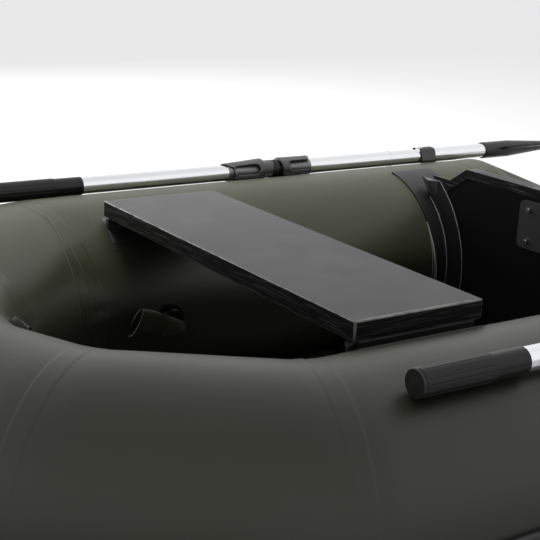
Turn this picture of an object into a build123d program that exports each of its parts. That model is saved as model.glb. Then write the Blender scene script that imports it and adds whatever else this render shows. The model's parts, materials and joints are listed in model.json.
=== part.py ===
from build123d import *
import os
from math import asin, cos, degrees, radians, sin, sqrt, tan

# Inflatable dinghy with a plywood seat, a transom and two stowed oars. Millimetres.
# +X points to the bow, +Y to port, +Z up; the boat stands on z = 0, on the bottom of its tubes.
# Pieces that come in pairs are built on the port side and mirrored to starboard.

os.makedirs("parts", exist_ok=True)

# ---------------------------------------------------------------- driving dimensions

# clearances
glue_gap = 0.1                 # glue line between a fabric tube and what is welded to it
running = 0.05                 # radial clearance of a turning or sliding fit
loose = 0.3                    # clearance between pieces that only lie beside each other

# air tubes
tube_radius = 180.0
tube_spacing = 900.0           # between the centre lines of the side tubes
skin = 0.9                     # coated fabric
bow_bend = 508.0               # from the bow tip back to the first mitre
bow_angles = (35.5, 30.0, 24.5)  # turns of the centre line at the three mitres
bow_panel = 300.0              # centre line from the first mitre to the second
cone_start = 1540.0            # from the bow tip back to the stern cones
cone_length = 320.0
cone_end_radius = 80.0
sector_step = 40.0             # degrees between the corners of a strip's wedge
bow_seam = 75.0                # straight stretch of the bow tube aft of its first mitre

# bottom
floor_height = 12.0            # underside of the floor sheet
slat_width = 92.0
slat_pitch = 110.0
slat_thickness = 9.0
slat_end_gap = 3.0

# seat
seat_from_bow = 619.0          # bow tip to the seat's front edge
seat_width = 221.0
seat_length = 719.0
seat_thickness = 27.0
seat_end_clear = 3.0           # least gap between the board's ends and the tubes
seat_front_round = 4.0
seat_back_round = 25.0

# seat track and keder (bolt rope)
track_offset = 345.0           # keder line from the centre line of the boat
track_above_tube = 2.24        # gap under the track's outboard edge
track_height = 13.0
track_width = 18.0
track_flange = 22.0
track_flange_thickness = 3.0
track_end_inset = 10.0
bead_radius = 4.85
bead_depth = 7.0               # bead centre below the seat board
keder_web = 2.4
keder_slot = 4.0
keder_flange = 46.0
keder_flange_thickness = 1.0
screw_radius = 2.0
screw_head_radius = 4.0
screw_head = 2.2
screw_bite = 14.0
screws_per_track = 3

# transom
transom_from_bow = 1352.0      # bow tip to the transom's front face
transom_thickness = 25.0
transom_above_tube = 38.5
transom_shoulder = 237.0       # half width of the level top edge
transom_slope = 34.0           # degrees, from the shoulder down to the tube
trim_thickness = 2.0
trim_height = 17.0
holder_thickness = 2.5
holder_lip = 48.0              # lip height above the tube, level with the crest at its top end
holder_lip_thickness = 4.0
holder_flange = 39.0           # flange ahead of and behind the board
holder_angles = (9.0, 16.0, 135.0)  # flange start, lip start, common end, from the tube's crest inboard
outer_pad = (200.0, 110.0, 8.0)
inner_pad = (160.0, 90.0, 6.0)
pad_drop = 25.0                # pad top below the transom top
bolt_spacing = (110.0, 60.0)
bolt_radius = 3.0
bolt_head_radius = 6.0
bolt_head = 4.0
nut_height = 5.0
nut_radius = 5.8
bolt_end = 2.0                 # bolt past its nut
pad_round = 10.0
head_sink = 0.2                # bolt head below the pad's face
drain_height = 48.0
drain_bore = 10.0
drain_wall = 4.0
drain_flange = 20.0
drain_flange_thickness = 2.5
plug_head_radius = 14.0
plug_head = 6.0
plug_wing = (10.0, 6.0, 20.0)

# rowlocks, with the oar along the tube
rowlock_from_bow = 1073.0
rowlock_offset = 82.0          # oar line outboard of the tube's centre line
shaft_height = 19.8            # oar line above the tube's skin
swivel_tilt = 16.0             # swivel axis leans outboard
base_length = 250.0
base_inboard = 14.0
base_outboard = 30.0
base_top = 17.8                # base top below the oar line
base_depth = 30.0              # before it is hollowed to the tube
cradle_bottom = 17.5           # cradle underside below the oar line
cradle_reach = 101.0
cradle_neck = 15.0
cradle_mid_radius = 22.5
cradle_end_radius = 18.0
neck_radius = 18.6
window_length = 52.0
window_height = 18.0
window_centre = 56.0
window_rise = 1.0              # window's middle above the oar line
mouth_radius = 16.0
mouth_centre = (6.0, -4.0)     # past the cradle's end, above its underside
spigot_radius = 9.0
spigot_depth = 1.3

# oars
oar_length = 1520.0
shaft_radius = 16.0
shaft_wall = 1.3
bush_radius = 16.9
bush_length = 200.0
bush_groove = 0.5
bush_groove_pitch = 6.0
port_grip_reach = 498.0        # rowlock to the end of the grip
starboard_grip_reach = 583.0
grip_radius = 18.25
grip_hold_length = 110.0
grip_flutes = 16
grip_flute_radius = 1.6
grip_flute_depth = 0.5
grip_end_round = 2.5
grip_neck_radius = 17.2
grip_neck_length = 55.0
grip_end_wall = 8.0
joint_from_grip = 899.0        # end of the grip to the joint of the two shafts
joint_ring_radius = 16.8
joint_ring_length = 6.0
insert_length = 130.0
insert_wall = 1.3
button_from_joint = 80.0
button_radius = 3.5
button_proud = 3.2
button_flange_radius = 5.5
button_flange = 1.2
spring_leaf = 0.6
spring_width = 8.0
spring_reach = 45.0            # from the button to the bend of the V
spring_heel = 5.0
insert_gap = 0.1
blade_length = 340.0
blade_width = 140.0
blade_thickness = 5.0
blade_round = 42.0
spine_tip_radius = 3.0
spine_share = 0.75             # of the plate's length
socket_length = 80.0
socket_wall = 2.6
socket_depth = 60.0

# oar keeper clips
port_clip_from_button = -60.0  # aft of the button; the two clips end up level with each other
starboard_clip_from_button = 24.5
clip_length = 40.0
clip_gap = 1.0                 # between shaft and clip
clip_wall = 1.8
clip_leg = 9.0                 # legs reach this far outboard of the oar line
clip_foot = (50.0, 14.0, 12.0)  # length, inboard reach, outboard reach
clip_foot_height = 3.0
clip_round = 8.0
clip_crown = 14.0              # rounding of its top corners, seen from the side

# rubbing strake, keeper loops, bow fitting
strake_width = 30.0
strake_height = 9.0
strake_root = 6.0              # drawn this far into the tube before it is hollowed to it
strake_round = 5.4
loop_from_seat = 13.0
loop_length = 42.0
loop_depth = 26.0
loop_height = 50.0
loop_wall = 1.8
loop_centre_height = 174.0
loop_bite = 0.5                # side of the loop that the tube flattens
patch_half_angle = 14.0
patch_half_width = 45.0
patch_thickness = 1.5
tow_angle = 35.0               # above the horizontal, on the bow's front
hinge_radius = 5.0
hinge_width = 26.0
ring_wire = 2.5
ring_width = 44.0
ring_drop = 38.0
ring_corner = 9.0

# valves: place of each one is set in valve_planes
valve_flange_radius = 27.0
valve_flange = 2.5
valve_barrel_radius = 16.0
valve_barrel_wall = 3.0
valve_depth = 24.0
valve_hole_gap = 0.2
valve_seat_wall = 3.0
valve_port_radius = 8.0
valve_rod_radius = 2.5
valve_disc_radius = 10.5
valve_disc = 2.0
valve_bridge_depth = 12.0
valve_bridge = (5.0, 2.0)
valve_rod_top = 4.0
valve_button_radius = 6.0
valve_button = 1.5
spring_wire = 0.4
spring_radius = 4.2
spring_turns = 3
cap_radius = 20.0
cap_height = 7.0
cap_skirt = 4.0
cap_skirt_wall = 2.0
cap_top = 3.0
cap_round = 2.0
cap_rib = (32.0, 5.0, 6.0)
side_valve_from_bow = 705.0
side_valve_angle = 92.0        # from the tube's crest, inboard
bow_valve_angle = 50.0

# ---------------------------------------------------------------- places worked out from them

grip_reach = {"port": port_grip_reach, "starboard": starboard_grip_reach}
clip_from_button = {"port": port_clip_from_button, "starboard": starboard_clip_from_button}
aft_tip = rowlock_from_bow - port_grip_reach + oar_length
bow_tip = (aft_tip - strake_height) / 2
crest = 2 * tube_radius
side_y = tube_spacing / 2
floor_top = floor_height + skin


def from_bow(distance):
    """X of a place that lies this far aft of the bow tip."""
    return bow_tip - distance


bend_x = from_bow(bow_bend)
side_fore_x = bend_x - bow_seam
cone_x = from_bow(cone_start)
seat_front = from_bow(seat_from_bow)
transom_front = from_bow(transom_from_bow)
transom_back = transom_front - transom_thickness
transom_top = crest + transom_above_tube
rowlock_x = from_bow(rowlock_from_bow)
oar_line_radius = tube_radius + shaft_height
rowlock_z = tube_radius + sqrt(oar_line_radius**2 - rowlock_offset**2)
cutter = 4 * shaft_radius      # reach of the blocks that trim pieces around an oar


def tube_top_at(y):
    """Height of a side tube's skin this far from the boat's centre line."""
    return tube_radius + sqrt(tube_radius**2 - (side_y - y) ** 2)


# the seat rests on its tracks, or higher where its ends would touch the tubes
on_tracks = tube_top_at(track_offset + track_width / 2) + track_above_tube + track_height
seat_bottom = max(on_tracks, tube_top_at(min(seat_length / 2, side_y)) + seat_end_clear)
seat_top = seat_bottom + seat_thickness


def bow_centre_line():
    """Corners of the bow tube's centre line, from the port bend round to the starboard one."""
    first, second = bow_angles[0], bow_angles[0] + bow_angles[1]
    p1 = (bend_x, side_y)
    p2 = (p1[0] + bow_panel * cos(radians(first)), side_y - bow_panel * sin(radians(first)))
    run = bow_tip - tube_radius - p2[0]
    p3 = (p2[0] + run, p2[1] - run * tan(radians(second)))
    half = [p1, p2, p3]
    return half + [(x, -y) for x, y in reversed(half)]


def at_tube_height(points):
    return [(x, y, tube_radius) for x, y in points]


def rod(radius, start, end):
    """Round bar along X."""
    plane = Plane(origin=(min(start[0], end[0]), start[1], start[2]), z_dir=(1, 0, 0))
    return Solid.make_cylinder(radius, abs(end[0] - start[0]), plane=plane)


def side_rod(radius, x_low, x_high, side=1):
    return rod(radius, (x_low, side * side_y, tube_radius), (x_high, side * side_y, tube_radius))


def box_between(low, high):
    size = [high[i] - low[i] for i in range(3)]
    centre = [(high[i] + low[i]) / 2 for i in range(3)]
    return Pos(*centre) * Box(*size)


def stern_cone(margin):
    """Solid body of the port stern cone, this much larger than its skin."""
    plane = Plane(origin=(cone_x, side_y, tube_radius), z_dir=(-1, 0, 0))
    return Solid.make_cone(tube_radius + margin, cone_end_radius + margin, cone_length, plane=plane)


def air_body(margin):
    """Solid body of the port side tube with its cone, this much larger than its skin."""
    return side_rod(tube_radius + margin, cone_x, side_fore_x) + stern_cone(margin)


def tube_sector(inner, outer, start, end, x_low, x_high):
    """Curved strip on the port tube; angles in degrees from the crest, inboard positive."""
    ring = Circle(outer) - Circle(inner)
    steps = max(2, int(abs(end - start) / sector_step) + 1)
    angles = [start + (end - start) * k / steps for k in range(steps + 1)]
    rim = [(-3 * outer * sin(radians(a)), 3 * outer * cos(radians(a))) for a in angles]
    wedge = make_face(Polyline((0, 0), *rim, (0, 0)))
    face = Plane(origin=(x_low, side_y, tube_radius), x_dir=(0, 1, 0), z_dir=(1, 0, 0)) * (ring & wedge)
    return extrude(face, x_high - x_low)


def starboard(piece):
    return mirror(piece, about=Plane.XZ)


def pair(piece):
    return Compound(children=[*piece.solids(), *starboard(piece).solids()])


def group(pieces):
    return Compound(children=[solid for piece in pieces for solid in piece.solids()])


def save(name, piece):
    solids = piece.solids()
    export_step(solids[0] if len(solids) == 1 else Compound(children=solids), f"parts/{name}.step")


# ---------------------------------------------------------------- air tubes


def mitred_panels(points, section):
    """Section along each straight run, cut at its mitres; its X points outboard, its Y up."""
    corners = [Vector(*point) for point in at_tube_height(points)]
    headings = [(b - a).normalized() for a, b in zip(corners, corners[1:])]
    lap = 2 * tube_radius
    bars = []
    for k, heading in enumerate(headings):
        first, last = k == 0, k == len(headings) - 1
        start = corners[k] - heading * (0 if first else lap)
        end = corners[k + 1] + heading * (0 if last else lap)
        plane = Plane(origin=start, x_dir=Vector(0, 0, 1).cross(heading), z_dir=heading)
        bar = extrude(plane * section, (end - start).length)
        if not first:
            mitre = Plane(origin=corners[k], z_dir=headings[k - 1] + heading)
            bar = split(bar, bisect_by=mitre, keep=Keep.TOP)
        if not last:
            mitre = Plane(origin=corners[k + 1], z_dir=heading + headings[k + 1])
            bar = split(bar, bisect_by=mitre, keep=Keep.BOTTOM)
        bars.append(bar)
    return bars


def mitred_run(points, section):
    """The panels of a mitred run joined to one solid."""
    first, *others = mitred_panels(points, section)
    return first.fuse(*others)


def bow_points(extra=0.0):
    """Bow tube's path with its straight ends, lengthened aft by extra."""
    x = bend_x - bow_seam - extra
    return [(x, side_y), *bow_centre_line(), (x, -side_y)]


def bow_run(radius, extra=0.0):
    return mitred_run(bow_points(extra), Circle(radius))



def build_tubes():
    planes = valve_planes()
    side = side_rod(tube_radius, cone_x, side_fore_x) - side_rod(tube_radius - skin, cone_x, side_fore_x)
    side -= valve_hole(planes["port"])
    save("port_tube", side)
    save("starboard_tube", starboard(side))
    bow_panels = mitred_panels(bow_points(), Circle(tube_radius) - Circle(tube_radius - skin))
    save("bow_tube", group([panel - valve_hole(planes["bow"]) for panel in bow_panels]))

    outer = Plane(origin=(cone_x, side_y, tube_radius), z_dir=(-1, 0, 0))
    taper = (tube_radius - cone_end_radius) / cone_length
    hollow_length = cone_length - skin
    hollow_end = tube_radius - skin - taper * hollow_length
    cone = stern_cone(0) - Solid.make_cone(tube_radius - skin, hollow_end, hollow_length, plane=outer)
    save("port_stern_cone", cone)
    save("starboard_stern_cone", starboard(cone))

    baffle = side_rod(tube_radius - skin - glue_gap, side_fore_x - skin / 2, side_fore_x + skin / 2)
    save("tube_baffles", pair(baffle))


# ---------------------------------------------------------------- bottom


def build_bottom():
    corners = bow_centre_line()
    outline = [(transom_back, side_y), *corners, (transom_back, -side_y), (transom_back, side_y)]
    sheet = Pos(0, 0, floor_height) * extrude(make_face(Polyline(*outline)), skin)
    sheet -= bow_run(tube_radius + glue_gap, extra=1.0)
    for side in (1, -1):
        sheet -= side_rod(tube_radius + glue_gap, transom_back - 1, side_fore_x, side)
    save("floor_sheet", sheet)

    slat_top = floor_top + slat_thickness
    half = side_y - sqrt(tube_radius**2 - (tube_radius - slat_top) ** 2) - slat_end_gap
    first_slat = transom_front + holder_lip_thickness + slat_end_gap
    count = int((bend_x - first_slat) // slat_pitch)
    slats = []
    for k in range(count):
        x = first_slat + k * slat_pitch
        slats.append(box_between((x, -half, floor_top), (x + slat_width, half, slat_top)))
    save("floor_slats", group(slats))


def build_strake():
    points = [(cone_x, side_y), *bow_centre_line(), (cone_x, -side_y)]
    outer = tube_radius + strake_height
    section = Pos((outer + tube_radius - strake_root) / 2, 0) * RectangleRounded(
        strake_height + strake_root, strake_width, strake_round
    )
    section -= Circle(tube_radius + glue_gap)
    save("rubbing_strake", mitred_run(points, section))


# ---------------------------------------------------------------- seat


def seat_keder():
    """Port keder: flange welded to the tube, web, and the bead that the track slides on."""
    x_low = seat_front - seat_width + track_end_inset
    x_high = seat_front
    centre = asin((side_y - track_offset) / tube_radius)
    half = keder_flange / 2 / tube_radius / cos(centre)
    start, end = centre - half, centre + half
    inner = tube_radius + glue_gap
    flange = tube_sector(
        inner, inner + keder_flange_thickness, degrees(start), degrees(end), x_low, x_high
    )
    bead_z = seat_bottom - bead_depth
    web = box_between(
        (x_low, track_offset - keder_web / 2, tube_radius),
        (x_high, track_offset + keder_web / 2, bead_z),
    )
    web -= side_rod(inner + keder_flange_thickness / 2, x_low - 1, x_high + 1)
    bead = rod(bead_radius, (x_low, track_offset, bead_z), (x_high, track_offset, bead_z))
    return flange + web + bead


def track_screw_places():
    x_low = seat_front - seat_width + track_end_inset
    span = seat_width - 2 * track_end_inset
    y = track_offset - track_width / 2 - track_flange / 2
    return [(x_low + span * (k + 0.5) / screws_per_track, y) for k in range(screws_per_track)]


def build_seat():
    x_low = seat_front - seat_width
    board = box_between((x_low, -seat_length / 2, seat_bottom), (seat_front, seat_length / 2, seat_top))
    edges = board.edges().filter_by(Axis.Z).sort_by(Axis.X)
    board = fillet(edges[:2], seat_back_round)
    board = fillet(board.edges().filter_by(Axis.Z).sort_by(Axis.X)[-2:], seat_front_round)

    fore, aft = seat_front - track_end_inset, x_low + track_end_inset
    body = box_between(
        (aft, track_offset - track_width / 2, seat_bottom - track_height),
        (fore, track_offset + track_width / 2, seat_bottom),
    )
    flange_low = (aft, track_offset - track_width / 2 - track_flange, seat_bottom - track_flange_thickness)
    body += box_between(flange_low, (fore, track_offset, seat_bottom))
    bead_z = seat_bottom - bead_depth
    body -= rod(bead_radius + running, (aft - 1, track_offset, bead_z), (fore + 1, track_offset, bead_z))
    slot_low = (aft - 1, track_offset - keder_slot / 2, seat_bottom - track_height - 1)
    body -= box_between(slot_low, (fore + 1, track_offset + keder_slot / 2, bead_z))

    screws = []
    for x, y in track_screw_places():
        head_top = seat_bottom - track_flange_thickness
        head = Pos(x, y, head_top - screw_head / 2) * Cylinder(screw_head_radius, screw_head)
        shank_length = track_flange_thickness + screw_bite
        shank = Pos(x, y, head_top + shank_length / 2) * Cylinder(screw_radius, shank_length)
        screws.append(head + shank)
        hole = Pos(x, y, head_top + shank_length / 2) * Cylinder(screw_radius + running, shank_length + 0.2)
        body -= hole
        board -= hole
        board -= starboard(hole)
    save("seat_board", board)
    save("seat_tracks", pair(body))
    save("track_screws", pair(group(screws)))
    save("seat_keders", pair(seat_keder()))


# ---------------------------------------------------------------- transom


def transom_outline(rise):
    """Half-open outline of the transom's top, raised by rise along its normals, as (y, z) points."""
    slope = tan(radians(transom_slope))
    top = transom_top + rise
    lift = rise / cos(radians(transom_slope))
    corner = transom_shoulder + (lift - rise) / slope
    side_z = top - (side_y - corner) * slope
    return [(-side_y, side_z), (-corner, top), (corner, top), (side_y, side_z)]


def transom_slab(rise, x_back, x_front, bottom):
    points = [*transom_outline(rise), (side_y, bottom), (-side_y, bottom)]
    face = make_face(Polyline(*points, points[0]))
    plane = Plane(origin=(x_back, 0, 0), x_dir=(0, 1, 0), z_dir=(1, 0, 0))
    return extrude(plane * face, x_front - x_back)


def clear_of_tubes(piece, radius):
    for side in (1, -1):
        piece = piece - side_rod(radius, cone_x - 1, side_fore_x, side)
    return piece


def bolt_places():
    z = transom_top - pad_drop - inner_pad[1] / 2
    half_y, half_z = bolt_spacing[0] / 2, bolt_spacing[1] / 2
    return [(sy * half_y, z + sz * half_z) for sy in (1, -1) for sz in (1, -1)]


def x_cylinder(radius, x_low, x_high, y, z):
    return rod(radius, (x_low, y, z), (x_high, y, z))


def build_transom():
    seat_radius = tube_radius + glue_gap + holder_thickness + glue_gap
    board = transom_slab(-trim_thickness, transom_back, transom_front, floor_top)
    board = clear_of_tubes(board, seat_radius)

    back, front = transom_back - trim_thickness, transom_front + trim_thickness
    trim = transom_slab(0, back, front, floor_top)
    trim -= transom_slab(-trim_height, back - 1, front + 1, floor_top - 1)
    trim -= transom_slab(-trim_thickness, transom_back, transom_front, floor_top)
    trim = clear_of_tubes(trim, tube_radius + holder_lip + loose)
    trim = trim.solids().sort_by(SortBy.VOLUME)[-1]

    inner = tube_radius + glue_gap
    flange_start, lip_start, end = holder_angles
    aft, fore = transom_back - holder_flange, transom_front + holder_flange
    holder = tube_sector(inner, inner + holder_thickness, flange_start, end, aft, fore)
    for x in (transom_front, transom_back - holder_lip_thickness):
        lip_low, lip_high = inner + holder_thickness / 2, tube_radius + holder_lip
        lip = tube_sector(lip_low, lip_high, lip_start, end, x, x + holder_lip_thickness)
        holder += lip & box_between((x - 1, 0, 0), (x + holder_lip_thickness + 1, side_y, crest))
    save("port_transom_holder", holder)
    save("starboard_transom_holder", starboard(holder))

    pad_top = transom_top - pad_drop
    outer_low = (transom_back - outer_pad[2], -outer_pad[0] / 2, pad_top - outer_pad[1])
    outer = box_between(outer_low, (transom_back, outer_pad[0] / 2, pad_top))
    outer = fillet(outer.edges().filter_by(Axis.X), pad_round)
    inner_low = (transom_front, -inner_pad[0] / 2, pad_top - inner_pad[1])
    fore_pad = box_between(inner_low, (transom_front + inner_pad[2], inner_pad[0] / 2, pad_top))
    fore_pad = fillet(fore_pad.edges().filter_by(Axis.X), pad_round)

    bolts, nuts = [], []
    x_aft, x_fore = transom_back - outer_pad[2], transom_front + inner_pad[2]
    for y, z in bolt_places():
        hole = x_cylinder(bolt_radius + running, x_aft - 1, x_fore + 1, y, z)
        board -= hole
        outer -= hole
        fore_pad -= hole
        sink = x_cylinder(bolt_head_radius + loose, x_aft - 1, x_aft + bolt_head, y, z)
        outer -= sink
        head = x_cylinder(bolt_head_radius, x_aft + head_sink, x_aft + bolt_head, y, z)
        bolt_tip = x_fore + nut_height + bolt_end
        bolts.append(head + x_cylinder(bolt_radius, x_aft + bolt_head, bolt_tip, y, z))
        nut_plane = Plane(origin=(x_fore, y, z), z_dir=(1, 0, 0))
        nut = extrude(nut_plane * RegularPolygon(nut_radius, 6), nut_height)
        nuts.append(nut - x_cylinder(bolt_radius + running, x_fore - 1, x_fore + nut_height + 1, y, z))

    bush_radius_out = drain_bore + drain_wall
    board -= x_cylinder(bush_radius_out + running, transom_back - 1, transom_front + 1, 0, drain_height)
    bush = x_cylinder(bush_radius_out, transom_back, transom_front, 0, drain_height)
    for x in (transom_back - drain_flange_thickness, transom_front):
        bush += x_cylinder(drain_flange, x, x + drain_flange_thickness, 0, drain_height)
    x_mouth = transom_back - drain_flange_thickness
    x_inner = transom_front + drain_flange_thickness
    bush -= x_cylinder(drain_bore + running, x_mouth - 1, x_inner + 1, 0, drain_height)
    plug = x_cylinder(drain_bore, x_mouth, x_inner, 0, drain_height)
    plug += x_cylinder(plug_head_radius, x_mouth - plug_head, x_mouth, 0, drain_height)
    wing = Pos(x_mouth - plug_head - plug_wing[0] / 2, 0, drain_height) * Box(*plug_wing)
    save("transom_board", board)
    save("transom_edge_trim", trim)
    save("outer_motor_pad", outer)
    save("inner_motor_pad", fore_pad)
    save("pad_bolts", group(bolts))
    save("pad_nuts", group(nuts))
    save("drain_bush", bush)
    save("drain_plug", plug + wing)


# ---------------------------------------------------------------- rowlocks and oars


def oar_plane():
    """Port oar frame: X along the shaft to the bow, Y outboard, Z along the swivel axis."""
    tilt = radians(swivel_tilt)
    origin = Vector(rowlock_x, side_y + rowlock_offset, rowlock_z)
    return Plane(origin=origin, x_dir=(1, 0, 0), z_dir=(0, sin(tilt), cos(tilt)))


def local_bar(radius, x_low, x_high):
    """Round bar on the oar line, in the oar's own frame."""
    return Solid.make_cylinder(radius, x_high - x_low, plane=Plane(origin=(x_low, 0, 0), z_dir=(1, 0, 0)))


def local_tube(outer, inner, x_low, x_high):
    return local_bar(outer, x_low, x_high) - local_bar(inner, x_low - 1, x_high + 1)


def placed(piece):
    return oar_plane().location * piece


def rowlock_base():
    middle = (base_outboard - base_inboard) / 2
    half = (base_outboard + base_inboard) / 2
    plate = Pos(0, middle, -base_top - base_depth) * extrude(Ellipse(base_length / 2, half), base_depth)
    plate -= Pos(0, 0, -base_top) * Cylinder(spigot_radius + running, 2 * base_depth)
    return placed(plate) - side_rod(tube_radius + glue_gap, cone_x, side_fore_x)


def rowlock_cradle():
    """Two windowed tunnel halves on a common saddle, with a spigot that turns in the base."""
    fore_plane = Plane(origin=(cradle_neck, 0, 0), z_dir=(1, 0, 0))
    length = cradle_reach - cradle_neck
    shell = Solid.make_cone(cradle_mid_radius, cradle_end_radius, length, plane=fore_plane)
    near = Plane(origin=(cradle_neck, 0, -cradle_bottom / 2), z_dir=(1, 0, 0), x_dir=(0, 1, 0))
    far = Plane(origin=(cradle_reach, 0, -cradle_bottom / 2), z_dir=(1, 0, 0), x_dir=(0, 1, 0))
    walls = loft([
        near * Rectangle(2 * cradle_mid_radius - 1, cradle_bottom),
        far * Rectangle(2 * cradle_end_radius - 1, cradle_bottom),
    ])
    half = shell + walls
    half &= box_between((cradle_neck, -cutter, -cradle_bottom), (cradle_reach, cutter, cutter))
    window = Plane(origin=(window_centre, -cutter, window_rise), z_dir=(0, 1, 0), x_dir=(1, 0, 0))
    half -= extrude(window * SlotOverall(window_length, window_height), 2 * cutter)
    mouth = Plane(origin=(cradle_reach, -cutter, -cradle_bottom), z_dir=(0, 1, 0), x_dir=(1, 0, 0))
    half -= extrude(mouth * Pos(*mouth_centre) * Circle(mouth_radius), 2 * cutter)
    neck = local_bar(neck_radius, -cradle_neck, cradle_neck)
    neck += box_between((-cradle_neck, -neck_radius, -cradle_bottom), (cradle_neck, neck_radius, -8))
    neck &= box_between((-cradle_neck, -cutter, -cradle_bottom), (cradle_neck, cutter, cutter))
    cradle = half + mirror(half, about=Plane.YZ) + neck
    cradle -= local_bar(bush_radius + running, -cradle_reach - 1, cradle_reach + 1)
    spigot = Pos(0, 0, -cradle_bottom - spigot_depth / 2) * Cylinder(spigot_radius, spigot_depth)
    return placed(cradle + spigot)


def oar_bush():
    bush = local_bar(bush_radius, -bush_length / 2, bush_length / 2)
    grooves = int((window_length - 4) // bush_groove_pitch)
    for sign in (1, -1):
        for k in range(grooves):
            x = sign * window_centre + (k - (grooves - 1) / 2) * bush_groove_pitch
            half = bush_groove_pitch / 4
            bush -= local_tube(bush_radius + 1, bush_radius - bush_groove, x - half, x + half)
    return placed(bush - local_bar(shaft_radius, -bush_length, bush_length))


def oar_grip(end):
    """Fluted grip with a rounded end and a smooth neck; end is its outer end along the oar."""
    hold_start = end - grip_hold_length
    grip = local_bar(grip_radius, hold_start, end)
    for k in range(grip_flutes):
        angle = radians(360 * k / grip_flutes)
        middle = grip_radius + grip_flute_radius - grip_flute_depth
        flute = local_bar(grip_flute_radius, hold_start - 1, end - 2 * grip_end_round)
        grip -= Pos(0, middle * sin(angle), middle * cos(angle)) * flute
    grip = fillet(grip.edges().filter_by(GeomType.CIRCLE).sort_by(Axis.X)[-1], grip_end_round)
    grip += local_bar(grip_neck_radius, hold_start - grip_neck_length, hold_start)
    return placed(grip - local_bar(shaft_radius, hold_start - grip_neck_length - 1, end - grip_end_wall))


def oar_blade(root, tip):
    """Flat blade with a spine and a round socket; root is the socket's fore end."""
    socket = local_bar(shaft_radius + socket_wall, root - socket_length, root)
    middle = (root - socket_length * 0.6 + tip) / 2
    length = root - socket_length * 0.6 - tip
    plan = RectangleRounded(length, blade_width, blade_round)
    plate = Pos(middle, 0, -blade_thickness / 2) * extrude(plan, blade_thickness)
    spine_plane = Plane(origin=(root - socket_length, 0, 0), z_dir=(-1, 0, 0))
    spine = Solid.make_cone(
        shaft_radius + socket_wall, spine_tip_radius, length * spine_share, plane=spine_plane
    )
    blade = socket + plate + spine
    return placed(blade - local_bar(shaft_radius, root - socket_depth, root + 1))


def button_hole(x, low):
    return Pos(x, 0, (low + 30) / 2) * Cylinder(button_radius + running, 30 - low)


def build_oar(side):
    reach = grip_reach[side]
    joint = reach - joint_from_grip
    tip = reach - oar_length
    root = tip + blade_length
    button_x = joint - button_from_joint
    inner = shaft_radius - shaft_wall
    insert_outer = inner - insert_gap
    insert_inner = insert_outer - insert_wall

    upper = local_tube(shaft_radius, insert_outer, joint, reach - grip_end_wall)
    upper += local_tube(insert_outer, insert_inner, joint - insert_length, joint + insert_length / 2)
    upper -= button_hole(button_x, 0)
    lower = local_tube(shaft_radius, inner, root - socket_depth, joint)
    lower += local_tube(joint_ring_radius, inner, joint - joint_ring_length, joint)
    lower -= button_hole(button_x, 0)

    button_top = shaft_radius + button_proud
    flange_top = sqrt(insert_inner**2 - button_flange_radius**2) - loose
    stem = Pos(button_x, 0, (flange_top + button_top) / 2) * Cylinder(button_radius, button_top - flange_top)
    stem = fillet(stem.edges().filter_by(GeomType.CIRCLE).sort_by(Axis.Z)[-1], 1.2)
    flange_z = flange_top - button_flange / 2
    button = stem + Pos(button_x, 0, flange_z) * Cylinder(button_flange_radius, button_flange)

    flip = starboard if side == "starboard" else (lambda piece: piece)
    save(f"{side}_oar_upper_shaft", flip(placed(upper)))
    save(f"{side}_oar_lower_shaft", flip(placed(lower)))
    save(f"{side}_oar_button", flip(placed(button)))
    save(f"{side}_oar_button_spring", flip(placed(button_spring(button_x, flange_top, insert_inner))))
    save(f"{side}_oar_grip", flip(oar_grip(reach)))
    save(f"{side}_oar_blade", flip(oar_blade(root, tip)))
    save(f"{side}_oar_bush", flip(oar_bush()))
    save(f"{side}_rowlock_cradle", flip(rowlock_cradle()))
    save(f"{side}_rowlock_base", flip(rowlock_base()))
    save(f"{side}_oar_keeper_clip", flip(keeper_clip(button_x - clip_from_button[side])))


def button_spring(x, flange_top, bore):
    """V-shaped leaf spring in the shaft: one leg under the button, the other on the far wall."""
    top = flange_top - button_flange
    bottom = -sqrt(bore**2 - (spring_width / 2) ** 2) + insert_gap
    heel = x - spring_heel
    bend = x + spring_reach
    outline = Polyline(
        (heel, top), (x + spring_heel, top), (bend, 0), (heel, bottom), (heel, bottom + spring_leaf),
        (bend - 4, 0), (x + 4, top - spring_leaf), (heel, top - spring_leaf), (heel, top),
    )
    plane = Plane(origin=(0, spring_width / 2, 0), x_dir=(1, 0, 0), z_dir=(0, -1, 0))
    return extrude(plane * make_face(outline), spring_width)


def keeper_clip(x):
    """Sideways U that holds the stowed shaft and opens outboard, on a foot welded to the tube."""
    inside = shaft_radius + clip_gap
    outside = inside + clip_wall
    half = clip_length / 2
    body = box_between((x - half, -outside, -outside), (x + half, clip_leg, outside))
    body = fillet(body.edges().filter_by(Axis.X).sort_by(Axis.Y)[:2], clip_round)
    hollow = box_between((x - half - 1, -inside, -inside), (x + half + 1, clip_leg + 1, inside))
    hollow = fillet(hollow.edges().filter_by(Axis.X).sort_by(Axis.Y)[:2], clip_round - clip_wall)
    body -= hollow
    foot_half = clip_foot[0] / 2
    web_low = (x - half, -clip_foot[1], -cutter)
    body += box_between(web_low, (x + half, clip_foot[2], -inside - clip_wall / 2))
    side_view = Plane.XZ * Pos(x, outside - cutter) * RectangleRounded(clip_length, 2 * cutter, clip_crown)
    clip = placed(body & extrude(side_view, cutter, both=True))
    foot_low = (x - foot_half, -clip_foot[1], -cutter)
    foot_block = box_between(foot_low, (x + foot_half, clip_foot[2], -inside))
    foot = placed(foot_block) & air_body(glue_gap + clip_foot_height)
    return (clip + foot) - air_body(glue_gap)


# ---------------------------------------------------------------- small fittings on the tubes


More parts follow.
